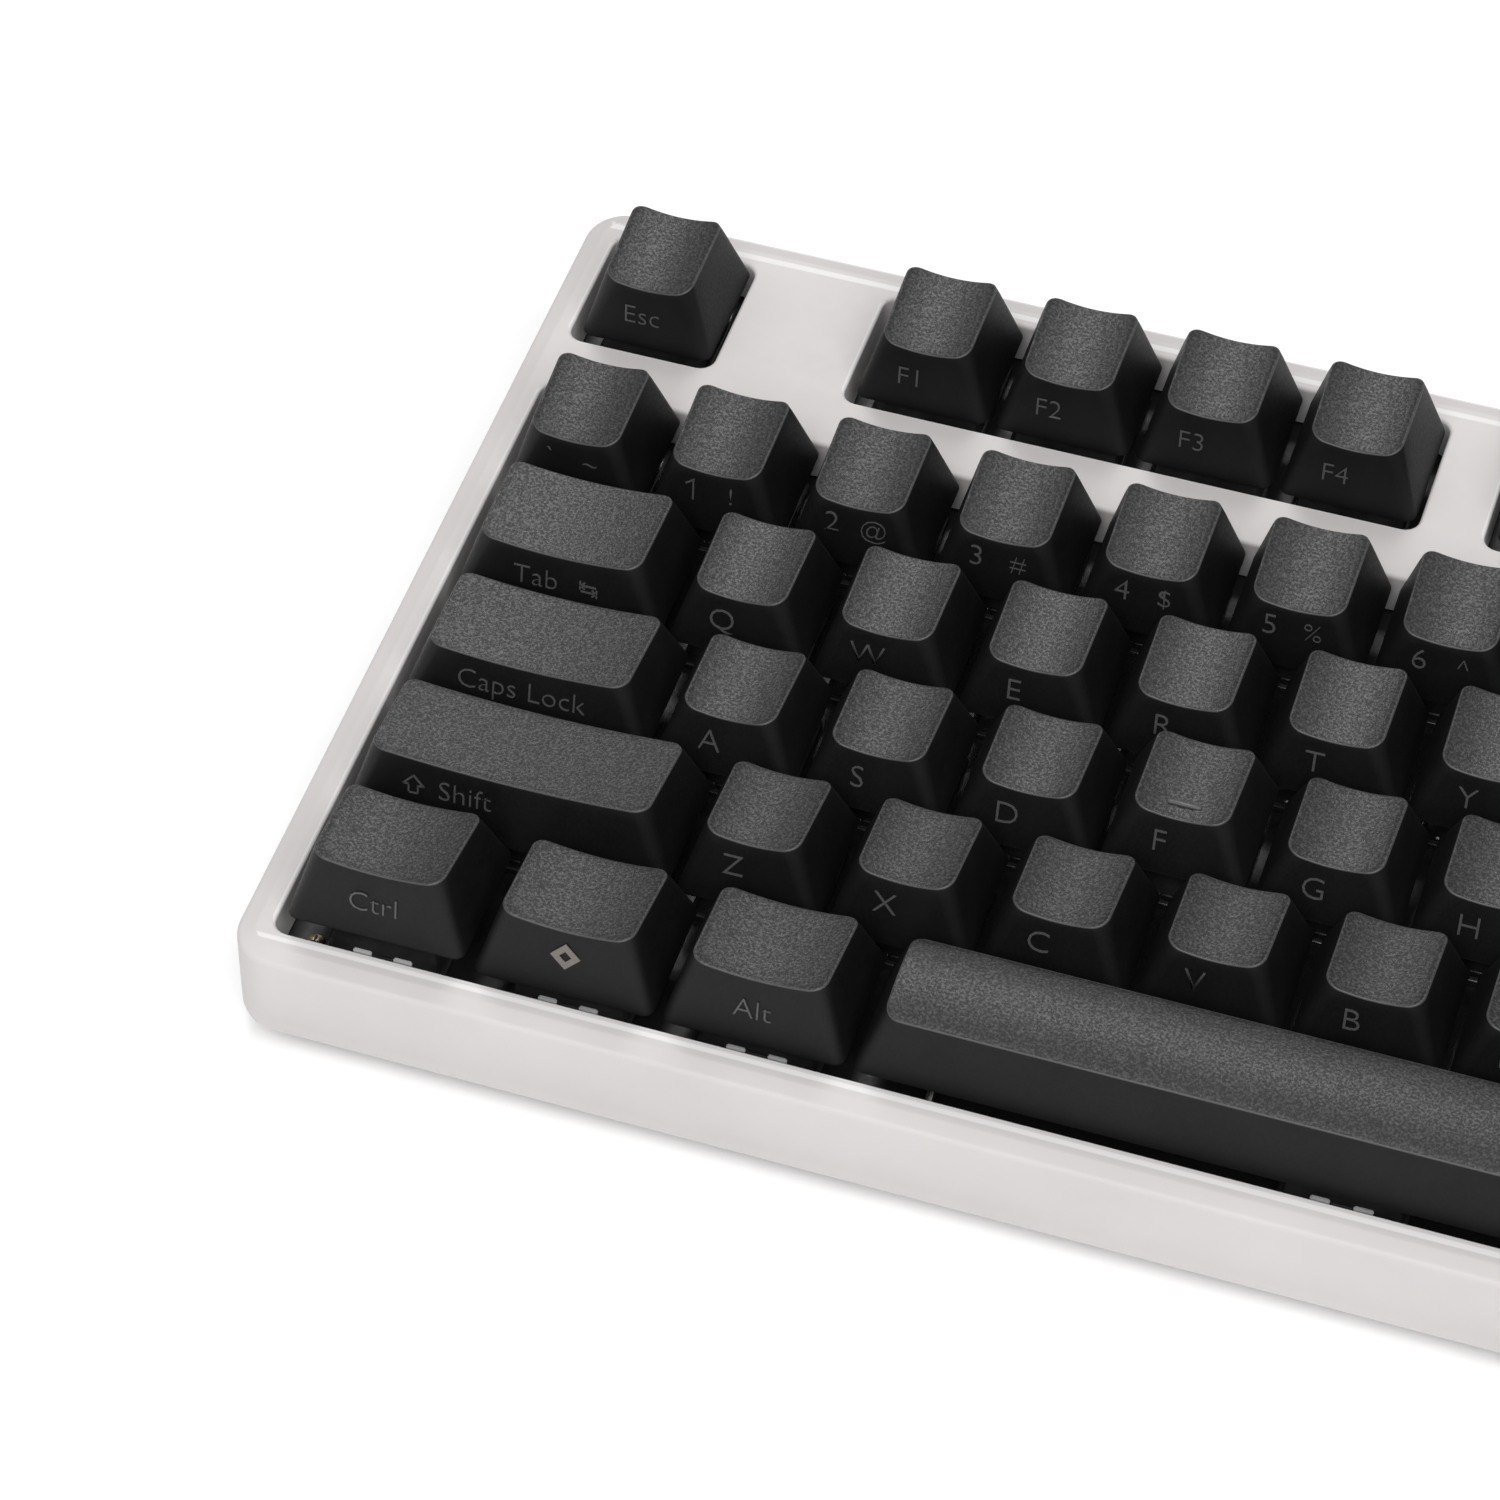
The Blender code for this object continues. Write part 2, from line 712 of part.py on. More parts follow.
# ---------------------------------------------------------------- the whole keyboard
def empty(name, location, angle, parent=None):
    frame = bpy.data.objects.new(name, None)
    bpy.context.scene.collection.objects.link(frame)
    frame.location = Vector(location) * MM
    frame.rotation_euler = (angle, 0.0, 0.0)
    frame.parent = parent
    return frame


def build():
    for old in list(bpy.data.objects):
        bpy.data.objects.remove(old)
    on_desk = [bottom_case(), flip_foot("flip_foot_left", -1), flip_foot("flip_foot_right", 1)]
    on_desk += [rubber_pad(name, *place) for name, place in pad_places().items()]
    on_slope = [top_case(), switch_plate(), circuit_board(), usb_socket(), stabiliser_wire()]
    on_slope += [space_bar(e) if e[0] == "space" else keycap(*e) for e in single_keys]
    on_slope += [key_bank(name, entries) for name, entries in key_banks.items()]
    # The object's origin is on the desk, under the middle of the top case's outline.
    front = tilted(0.0, case_front, rim_height - rim_slope - case_edge)[1]
    back = tilted(0.0, case_back, -case_skirt)[1]
    desk_frame = empty("desk_frame", (-grid_width / 2, -(front + back) / 2, 0.0), 0.0)
    key_frame = empty("key_frame", (0.0, 0.0, key_field_height), slope, desk_frame)
    for piece in on_desk:
        piece.parent = desk_frame
    for piece in on_slope:
        piece.parent = key_frame


build()
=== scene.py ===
"""The look of the tenkeyless mechanical keyboard: sculpted black keycaps with grained tops, front
legends, clear switches, and a satin white case, on a pale floor in soft studio light.

Shapes are drawn in millimetres in the key frame (X right, Y back, Z square to the switch plate,
origin at the front left corner of the key grid, level with the keycap skirts) and carried to the
row frame by KEY_FRAME.
"""

import math

import bmesh
import bpy
from mathutils import Matrix, Vector
from mathutils.geometry import tessellate_polygon


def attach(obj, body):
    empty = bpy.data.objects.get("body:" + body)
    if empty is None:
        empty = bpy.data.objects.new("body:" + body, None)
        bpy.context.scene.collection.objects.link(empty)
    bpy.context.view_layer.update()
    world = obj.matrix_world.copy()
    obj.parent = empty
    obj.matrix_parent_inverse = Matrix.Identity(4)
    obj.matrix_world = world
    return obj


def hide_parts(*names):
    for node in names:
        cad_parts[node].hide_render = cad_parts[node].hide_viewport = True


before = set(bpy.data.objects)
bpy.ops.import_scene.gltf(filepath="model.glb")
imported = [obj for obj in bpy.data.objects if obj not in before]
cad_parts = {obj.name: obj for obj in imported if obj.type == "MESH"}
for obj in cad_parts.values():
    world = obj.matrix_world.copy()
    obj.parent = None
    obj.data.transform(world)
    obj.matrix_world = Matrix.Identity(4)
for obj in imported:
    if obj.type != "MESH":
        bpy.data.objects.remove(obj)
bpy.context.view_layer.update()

# ---------------------------------------------------------------- sizes, mm (as in the CAD)
PITCH = 19.05
CELL_HALF = PITCH / 2
SLOPE = math.radians(4.5)
FIELD_HEIGHT = 18.0
GRID_WIDTH, GRID_DEPTH = 18.25 * PITCH, 6.5 * PITCH
MIDDLE_Y = 62.137           # the row frame's origin, behind the grid's front edge
SIDE, FRONT, BACK = 5.7, 6.0, 5.7
CORNER = 6.0
RIM, RIM_FALL = 0.35, 0.45
SKIRT = 13.1
WALL = 2.0
WELL_MARGIN, WELL_CORNER, WELL_WALL = 0.5, 2.0, 1.2
PLATE_TOP = -6.2
BOARD_TOP, BOARD_THICKNESS = -11.2, 1.6
SWITCH_HEIGHT = 6.5
CAP_GAP, CAP_WALL, CAP_ROOF = 0.95, 1.5, 1.4
INSET_BACK, INSET_FRONT = 3.37, 3.6
DISH, CROWN = 1.0, 1.1
SKIRT_HALF = (PITCH - CAP_GAP) / 2
SPACE_WIRE_HALF = 50.0      # half the span of the space bar's stabiliser

# ---------------------------------------------------------------- sizes of the finer shapes, mm
EDGE = 0.75                 # radius where the top turns into the outer walls
DRAFT = 0.4                 # the outer walls lean in by this on the way up
CREASE = 2.7                # from the outer wall to the fine crease along the rim
RIM_RADIUS = 0.55           # rounding of each well's rim
WELL_SHIFT = (-0.45, -0.3)  # the caps sit a little to the right and back in their wells
LINER_GAP = 0.3             # between a well's liner and the switch plate
LIP = 0.19                  # rounding of a cap's top edge
SKIRT_ROUND, TOP_ROUND_BACK, TOP_ROUND_FRONT = 1.4, 1.6, 2.0    # corners of a cap, low and high
ARC_STEPS = 6               # straight pieces in each round corner of a cap
MOUNT_RADIUS = 2.9          # the round mount under a cap
STEM_X, STEM_Y, STEM_DROP = 2.6, 2.2, 2.0       # half sizes of a switch's slider, and its depth
PIT_HALF = 3.2              # half width of the pit that the slider runs in
HOMING_X, HOMING_Y, HOMING_BACK = 2.1, 0.3, 2.6     # half sizes of a homing bar, and its set-back
LETTER_SIZE, WORD_SIZE, SYMBOL_SIZE = 4.5, 4.0, 3.8
CAPITAL_SHARE = 0.7         # height of a capital letter in the letter size
LEGEND_THIN = 0.07          # drawn in on each side, for a light weight of lettering
LEGEND_PROUD, LEGEND_DEEP = 0.02, 0.12
STROKE = 0.22               # line width of the drawn marks
KEY_STABILISER_HALF = 11.9  # half the span of the other wide keys' stabilisers
SCREW_RADIUS = 1.5
LENS_RADIUS = 1.25
UNSEATED = {"f": 1.9, "ctrl_left": 1.6}     # caps pushed home less than the rest

# Material slots: of a cap, then of the switch housings.
SIDE_SLOT, TOP_SLOT, CAP_HIGHLIGHT_SLOT, STEM_SLOT, LEGEND_SLOT, ICON_SLOT = range(6)
# Of the housings: painted shade, then a painted highlight for the front row's posts.
SHADE_SLOT, LIT_SLOT = range(2)
MM = 0.001
KEY_FRAME = Matrix.Translation(Vector((-GRID_WIDTH / 2, -MIDDLE_Y, FIELD_HEIGHT)) * MM) @ Matrix.Rotation(
    SLOPE, 4, "X"
)

ROWS = {
    "ctrl": (0.0, "low"), "shift": (1.0, "low"), "caps": (2.0, "home"),
    "tab": (3.0, "upper"), "number": (4.0, "high"), "f": (5.5, "high"),
}
# Back and front edge of a cap's top: distance behind the cell's centre, height.
PROFILES = {
    "high": ((6.0, 11.3), (-7.4, 10.2)),
    "upper": ((6.7, 9.2), (-6.9, 9.3)),
    "home": ((7.3, 7.5), (-6.4, 8.8)),
    "low": ((7.1, 8.2), (-6.5, 10.4)),
    "space": ((6.6, 7.9), (-6.6, 8.6)),
}
RIGHT = 15.25               # where the right-hand groups start, in key units


def run(body, row, start, labels, width=1.0):
    """Neighbouring keys on one body (or on one each, where body is None)."""
    return [
        (body or "key_" + label[0], label[0], row, start + i * width, width, label[1:])
        for i, label in enumerate(labels)
    ]


def letters(text):
    """A run of letter keys, each named and marked by its letter."""
    return [(c.lower(), c) for c in text]


KEYS = (
    run(None, "f", 0.0, [("esc", "Esc")])
    + run(None, "f", 2.0, [("f%d" % i, "F%d" % i) for i in (1, 2, 3, 4)])
    + run("keys_f5_to_f8", "f", 6.5, [("f%d" % i, "F%d" % i) for i in (5, 6, 7, 8)])
    + run("keys_f9_to_f12", "f", 11.0, [("f%d" % i, "F%d" % i) for i in (9, 10, 11, 12)])
    + run("keys_print_to_pause", "f", RIGHT, [("print", "Print"), ("scroll", "Scroll"), ("pause", "Pause")])
    + run(None, "number", 0.0, [("grave", "`", "~"), ("1", "icon:one", "!"), ("2", "2", "@"), ("3", "3", "#"),
                                ("4", "4", "$"), ("5", "5", "%"), ("6", "6", "^")])
    + run("keys_7_to_backspace", "number", 7.0, [("7", "7", "&"), ("8", "8", "*"), ("9", "9", "("),
                                                 ("0", "0", ")"), ("minus", "-", "_"), ("equals", "=", "+")])
    + run("keys_7_to_backspace", "number", 13.0, [("backspace", "Backspace", "icon:left")], 2.0)
    + run(None, "tab", 0.0, [("tab", "Tab", "icon:tab")], 1.5)
    + run(None, "tab", 1.5, letters("QWERTY"))
    + run("keys_u_to_backslash", "tab", 7.5, letters("UIOP") + [("open", "[", "{"), ("close", "]", "}")])
    + run("keys_u_to_backslash", "tab", 13.5, [("backslash", "\\", "|")], 1.5)
    + run(None, "caps", 0.0, [("caps_lock", "Caps Lock")], 1.75)
    + run(None, "caps", 1.75, letters("ASDFGH"))
    + run("keys_j_to_quote", "caps", 7.75, letters("JKL") + [("semicolon", ";", ":"), ("quote", "'", '"')])
    + run(None, "caps", 12.75, [("enter", "Enter", "icon:enter")], 2.25)
    + run(None, "shift", 0.0, [("shift_left", "icon:shift", "Shift")], 2.25)
    + run(None, "shift", 2.25, letters("ZXCVB"))
    + run("keys_n_to_slash", "shift", 7.25, letters("NM") + [("comma", ",", "<"), ("dot", ".", ">"),
                                                             ("slash", "/", "?")])
    + run(None, "shift", 12.25, [("shift_right", "icon:shift", "Shift")], 2.75)
    + run(None, "ctrl", 0.0, [("ctrl_left", "Ctrl"), ("logo_left", "icon:gem"), ("alt_left", "Alt")], 1.25)
    + run(None, "ctrl", 3.75, [("space",)], 6.25)
    + run("keys_right_modifiers", "ctrl", 10.0, [("alt_right", "Alt"), ("logo_right", "icon:gem"),
                                                 ("menu", "icon:menu"), ("ctrl_right", "Ctrl")], 1.25)
    + run("keys_navigation", "number", RIGHT, [("insert", "Ins"), ("home", "Home"), ("page_up", "PgUp")])
    + run("keys_navigation", "tab", RIGHT, [("delete", "Del"), ("end", "End"), ("page_down", "PgDn")])
    + run("keys_arrows", "shift", RIGHT + 1.0, [("up", "icon:up")])
    + run("keys_arrows", "ctrl", RIGHT, [("left", "icon:left"), ("down", "icon:down"), ("right", "icon:right")])
)


def cell(row, start, width):
    """Centre and half width of a key's cell."""
    return (start + width / 2) * PITCH, (ROWS[row][0] + 0.5) * PITCH, width * PITCH / 2


# ---------------------------------------------------------------- materials
class Nodes:
    """A node material under construction: short calls for the few nodes that the looks need."""

    def __init__(self, name):
        self.material = bpy.data.materials.new(name)
        self.material.use_nodes = True
        self.tree = self.material.node_tree
        self.shader = self.tree.nodes["Principled BSDF"]
        self.place = self.tree.nodes.new("ShaderNodeTexCoord").outputs["Object"]

    def link(self, source, target):
        self.tree.links.new(source, target)

    def set(self, **values):
        for name, value in values.items():
            self.shader.inputs[name.replace("_", " ")].default_value = value

    def noise(self, scale, detail=2.0, roughness=0.5):
        node = self.tree.nodes.new("ShaderNodeTexNoise")
        node.inputs["Scale"].default_value = scale
        node.inputs["Detail"].default_value = detail
        node.inputs["Roughness"].default_value = roughness
        self.link(self.place, node.inputs["Vector"])
        return node.outputs["Fac"]

    def remap(self, value, low, high, to_low, to_high):
        node = self.tree.nodes.new("ShaderNodeMapRange")
        for name, number in (("From Min", low), ("From Max", high), ("To Min", to_low), ("To Max", to_high)):
            node.inputs[name].default_value = number
        self.link(value, node.inputs["Value"])
        return node.outputs["Result"]

    def mix(self, share, first, second):
        node = self.tree.nodes.new("ShaderNodeMix")
        node.data_type = "RGBA"
        self.link(share, node.inputs["Factor"])
        for socket, colour in ((node.inputs[6], first), (node.inputs[7], second)):
            if isinstance(colour, tuple):
                socket.default_value = (*colour, 1.0)
            else:
                self.link(colour, socket)
        return node.outputs[2]

    def edges(self, low=0.52, high=0.6):
        """1 along raised edges, 0 elsewhere: the mask for painted edge highlights."""
        geometry = self.tree.nodes.new("ShaderNodeNewGeometry")
        return self.remap(geometry.outputs["Pointiness"], low, high, 0.0, 1.0)

    def bump(self, height, strength, distance):
        node = self.tree.nodes.new("ShaderNodeBump")
        node.inputs["Strength"].default_value = strength
        node.inputs["Distance"].default_value = distance
        self.link(height, node.inputs["Height"])
        self.link(node.outputs["Normal"], self.shader.inputs["Normal"])

    def colour(self, output):
        self.link(output, self.shader.inputs["Base Color"])

    def rough(self, output):
        self.link(output, self.shader.inputs["Roughness"])


def white_case_material(name, painted_edge_highlights):
    """Satin moulded plastic: a faint mottle and fine mould texture, with a painted highlight along the edges
    where asked.
    """
    m = Nodes(name)
    mottle = m.noise(45.0, 3.0)
    body = m.mix(m.remap(mottle, 0.3, 0.7, 0.0, 1.0), (0.535, 0.511, 0.504), (0.572, 0.548, 0.541))
    # The lighter colour along raised edges is a painted highlight.
    m.colour(m.mix(m.edges(0.53, 0.58), body, (0.70, 0.685, 0.68)) if painted_edge_highlights else body)
    m.rough(m.remap(m.noise(700.0, 4.0), 0.3, 0.7, 0.42, 0.52))
    m.bump(m.noise(5200.0, 2.0), 0.10, 0.00004)
    m.set(Specular_IOR_Level=0.25)
    return m.material


def cap_top_material():
    """Coarse sparkly grain of the keycap tops."""
    m = Nodes("keycap_top_grain")
    grain = m.noise(2900.0, 3.0, 0.65)
    patch = m.noise(130.0, 2.0)
    dark = m.mix(m.remap(patch, 0.3, 0.7, 0.0, 1.0), (0.003, 0.003, 0.0031), (0.006, 0.006, 0.0062))
    m.colour(m.mix(m.remap(grain, 0.44, 0.68, 0.0, 1.0), dark, (0.052, 0.052, 0.0533)))
    m.rough(m.remap(grain, 0.4, 0.6, 0.52, 0.34))
    m.bump(grain, 1.0, 0.00006)
    m.set(Specular_IOR_Level=0.5)
    return m.material


def cap_side_material():
    """Smoother, darker sides with a fine mould texture and a faint painted highlight on the corners."""
    m = Nodes("keycap_side_plastic")
    mottle = m.remap(m.noise(160.0, 3.0), 0.3, 0.7, 0.0, 1.0)
    # The lighter colour on the corners is a painted highlight.
    m.colour(m.mix(m.edges(0.51, 0.60), m.mix(mottle, (0.0032, 0.0032, 0.0035), (0.0055, 0.0055, 0.0058)),
                   (0.014, 0.014, 0.0145)))
    m.rough(m.remap(m.noise(2600.0, 2.0), 0.3, 0.7, 0.46, 0.58))
    m.bump(m.noise(6000.0, 2.0), 0.3, 0.00003)
    m.set(Specular_IOR_Level=0.24)
    return m.material


def cap_highlight_material():
    """The fine line round a cap's top, where the grain ends: a painted highlight along the edge, lighter than
    the sides.
    """
    m = Nodes("keycap_painted_highlight")
    m.colour(m.mix(m.noise(1800.0, 2.0), (0.032, 0.032, 0.034), (0.062, 0.062, 0.064)))
    m.rough(m.remap(m.noise(2600.0, 2.0), 0.3, 0.7, 0.32, 0.44))
    m.bump(m.noise(6000.0, 2.0), 0.2, 0.00002)
    m.set(Specular_IOR_Level=0.5)
    return m.material


def legend_material(name, low, high):
    """Thin printed colour, slightly mottled."""
    m = Nodes(name)
    m.colour(m.mix(m.remap(m.noise(6000.0, 2.0), 0.35, 0.65, 0.0, 1.0), low, high))
    m.rough(m.remap(m.noise(3000.0, 2.0), 0.3, 0.7, 0.5, 0.62))
    m.bump(m.noise(9000.0, 2.0), 0.15, 0.00003)
    return m.material


def speckled_material(name, low, high, scale, roughness, metallic=0.0, bump=0.1, distance=0.00004):
    """Two close tones in a fine speckle, with the same speckle in the gloss and the relief."""
    m = Nodes(name)
    speckle = m.noise(scale, 3.0)
    m.colour(m.mix(m.remap(speckle, 0.35, 0.65, 0.0, 1.0), low, high))
    m.rough(m.remap(m.noise(scale * 0.4, 3.0), 0.3, 0.7, roughness[0], roughness[1]))
    m.bump(speckle, bump, distance)
    m.set(Metallic=metallic)
    return m.material


def lit_posts_material():
    """Clear polycarbonate painted bright: a painted highlight where the light over the rim reaches the posts of
    the front row.
    """
    m = Nodes("switch_posts_painted_highlight")
    m.colour(m.mix(m.remap(m.noise(260.0, 3.0), 0.35, 0.65, 0.0, 1.0), (0.78, 0.78, 0.79), (0.92, 0.92, 0.93)))
    m.rough(m.remap(m.noise(900.0, 2.0), 0.3, 0.7, 0.06, 0.14))
    m.bump(m.noise(700.0, 2.0), 0.08, 0.00004)
    m.set(Specular_IOR_Level=0.8, Transmission_Weight=0.25, IOR=1.5)
    return m.material


def shaded_housing_material():
    """The same clear plastic, glossy and painted dark: painted shade for the housings that stand in the caps'
    shadow.
    """
    m = Nodes("switch_housing_painted_shade")
    haze = m.remap(m.noise(200.0, 3.0), 0.35, 0.65, 0.0, 1.0)
    m.colour(m.mix(haze, (0.012, 0.012, 0.0125), (0.03, 0.03, 0.031)))
    m.rough(m.remap(m.noise(900.0, 2.0), 0.3, 0.7, 0.10, 0.20))
    m.bump(m.noise(700.0, 2.0), 0.05, 0.00003)
    m.set(Specular_IOR_Level=0.45)
    return m.material


# The upper case carries painted highlights along its rims and creases.
WHITE = white_case_material("case_white_plastic", True)
WHITE_BASE = white_case_material("lower_case_white_plastic", False)
CAP_TOP = cap_top_material()
CAP_SIDE = cap_side_material()
CAP_HIGHLIGHT = cap_highlight_material()
LEGEND = legend_material("legend_grey", (0.052, 0.052, 0.054), (0.078, 0.078, 0.08))
ICON = legend_material("legend_light", (0.13, 0.115, 0.102), (0.17, 0.152, 0.136))
PLATE = speckled_material("plate_black_paint", (0.007, 0.007, 0.007), (0.013, 0.0125, 0.0125), 2400.0,
                          (0.36, 0.48), bump=0.2)
BOARD = speckled_material("board_black_mask", (0.006, 0.008, 0.008), (0.011, 0.014, 0.013), 900.0,
                          (0.3, 0.42))
# Lit and shaded copies of the clear housing plastic: painted highlight and painted shade.
LIT_POSTS = lit_posts_material()
SHADED_HOUSING = shaded_housing_material()
SWITCH_DARK = speckled_material("switch_dark_plastic", (0.010, 0.010, 0.011), (0.018, 0.018, 0.019), 1800.0,
                                (0.34, 0.46))
STEM = speckled_material("switch_stem_brown", (0.045, 0.022, 0.012), (0.060, 0.030, 0.017), 1500.0,
                         (0.34, 0.45))
STEEL = speckled_material("bright_steel", (0.60, 0.59, 0.57), (0.72, 0.71, 0.69), 1500.0, (0.18, 0.30),
                          metallic=1.0)
BRASS = speckled_material("brass_screw", (0.62, 0.50, 0.32), (0.80, 0.70, 0.52), 1500.0, (0.2, 0.32),
                          metallic=1.0)
RUBBER = speckled_material("black_rubber", (0.013, 0.013, 0.013), (0.022, 0.022, 0.022), 1600.0,
                           (0.72, 0.88), bump=0.4, distance=0.0001)
LENS = speckled_material("indicator_lens", (0.52, 0.53, 0.54), (0.62, 0.63, 0.64), 800.0, (0.12, 0.2))


# ---------------------------------------------------------------- mesh helpers
def mesh_from(name, points, faces, materials=(), slots=None, sharp=35.0):
    """A smooth-shaded mesh from points in mm, with sharp edges over an angle and faces outwards."""
    mesh = bmesh.new()
    vertices = [mesh.verts.new(Vector(p) * MM) for p in points]
    for i, face in enumerate(faces):
        made = mesh.faces.new([vertices[k] for k in face])
        made.material_index = slots[i] if slots else 0
    bmesh.ops.recalc_face_normals(mesh, faces=mesh.faces)
    data = bpy.data.meshes.new(name)
    mesh.to_mesh(data)
    mesh.free()
    for material in materials:
        data.materials.append(material)
    data.shade_smooth()
    data.set_sharp_from_angle(angle=math.radians(sharp))
    return data


def put(name, data, body, matrix=KEY_FRAME, stands_for=None):
    """An object of that mesh, riding on a body, and standing for a CAD node if one is named."""
    made = bpy.data.objects.new(name, data)
    bpy.context.scene.collection.objects.link(made)
    made.matrix_world = matrix
    bpy.context.view_layer.update()
    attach(made, body)
    if stands_for:
        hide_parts(stands_for)
    return made


class Shape:
    """Points and faces gathered ring by ring, with a material slot for each face."""

    def __init__(self):
        self.points, self.faces, self.slots = [], [], []

    def ring(self, points):
        """Adds points and returns their numbers."""
        first = len(self.points)
        self.points.extend(points)
        return list(range(first, len(self.points)))

    def face(self, corners, slot=0):
        self.faces.append(tuple(corners))
        self.slots.append(slot)

    def sleeve(self, a, b, slot=0):
        """Joins two closed rings of the same length."""
        count = len(a)
        for i in range(count):
            after = (i + 1) % count
            self.face((a[i], a[after], b[after], b[i]), slot)

    def stack(self, rings, slot=0, close_first=True, close_last=True):
        made = [self.ring(points) for points in rings]
        for a, b in zip(made, made[1:]):
            self.sleeve(a, b, slot)
        if close_first:
            self.face(made[0], slot)
        if close_last:
            self.face(made[-1], slot)
        return made

    def block(self, x0, x1, y0, y1, z0, z1, edge=0.15, slot=0, corner=None):
        """A box with softened edges."""
        corner = corner or edge
        rings = []
        for inset, z in ((edge, z0), (0.0, z0 + edge), (0.0, z1 - edge), (edge, z1)):
            outline = rounded(x0 + inset, x1 - inset, y0 + inset, y1 - inset, max(corner - inset, 0.02), 3)
            rings.append([(x, y, z) for x, y in outline])
        self.stack(rings, slot)

    def turned(self, x, y, profile, sides=20, slot=0):
        """A solid turned about a vertical axis: profile is (radius, z) from one end to the other."""
        rings = []
        for radius, z in profile:
            turns = [2 * math.pi * i / sides for i in range(sides)]
            rings.append([(x + radius * math.cos(t), y + radius * math.sin(t), z) for t in turns])
        self.stack(rings, slot)

    def mesh(self, name, materials, sharp=35.0):
        return mesh_from(name, self.points, self.faces, materials, self.slots, sharp)


def rounded(left, right, front, back, radius, steps=6, cuts_x=0, cuts_y=0, front_radius=None):
    """Outline of a rectangle with round corners; its sides may be cut into more points."""
    near = radius if front_radius is None else front_radius
    corners = (
        (right - radius, back - radius, 0, cuts_x, radius), (left + radius, back - radius, 90, cuts_y, radius),
        (left + near, front + near, 180, cuts_x, near), (right - near, front + near, 270, cuts_y, near),
    )
    outline = []
    for k, (x, y, start, cuts, r) in enumerate(corners):
        arc = [math.radians(start + 90 * i / steps) for i in range(steps + 1)]
        outline += [(x + r * math.cos(t), y + r * math.sin(t)) for t in arc]
        next_x, next_y, next_start, _, next_r = corners[(k + 1) % 4]
        turn = math.radians(next_start)
        to_x, to_y = next_x + next_r * math.cos(turn), next_y + next_r * math.sin(turn)
        from_x, from_y = outline[-1]
        for i in range(1, cuts + 1):
            share = i / (cuts + 1)
            outline.append((from_x + (to_x - from_x) * share, from_y + (to_y - from_y) * share))
    return outline


# ---------------------------------------------------------------- keycaps
def top_height(profile, half, dish, crown):
    """Height of a cap's top over any point, from the cell's centre."""
    (back, back_z), (front, front_z) = profile

    def height(x, y):
        forward = min(1.0, max(0.0, (back - y) / (back - front)))
        reach = half - (INSET_BACK + (INSET_FRONT - INSET_BACK) * forward)
        edge = back_z + (front_z - back_z) * forward
        across = min(1.0, abs(x) / reach)
        return edge + crown * (1 - (2 * forward - 1) ** 2) - dish * (1 - across ** 2)

    return height


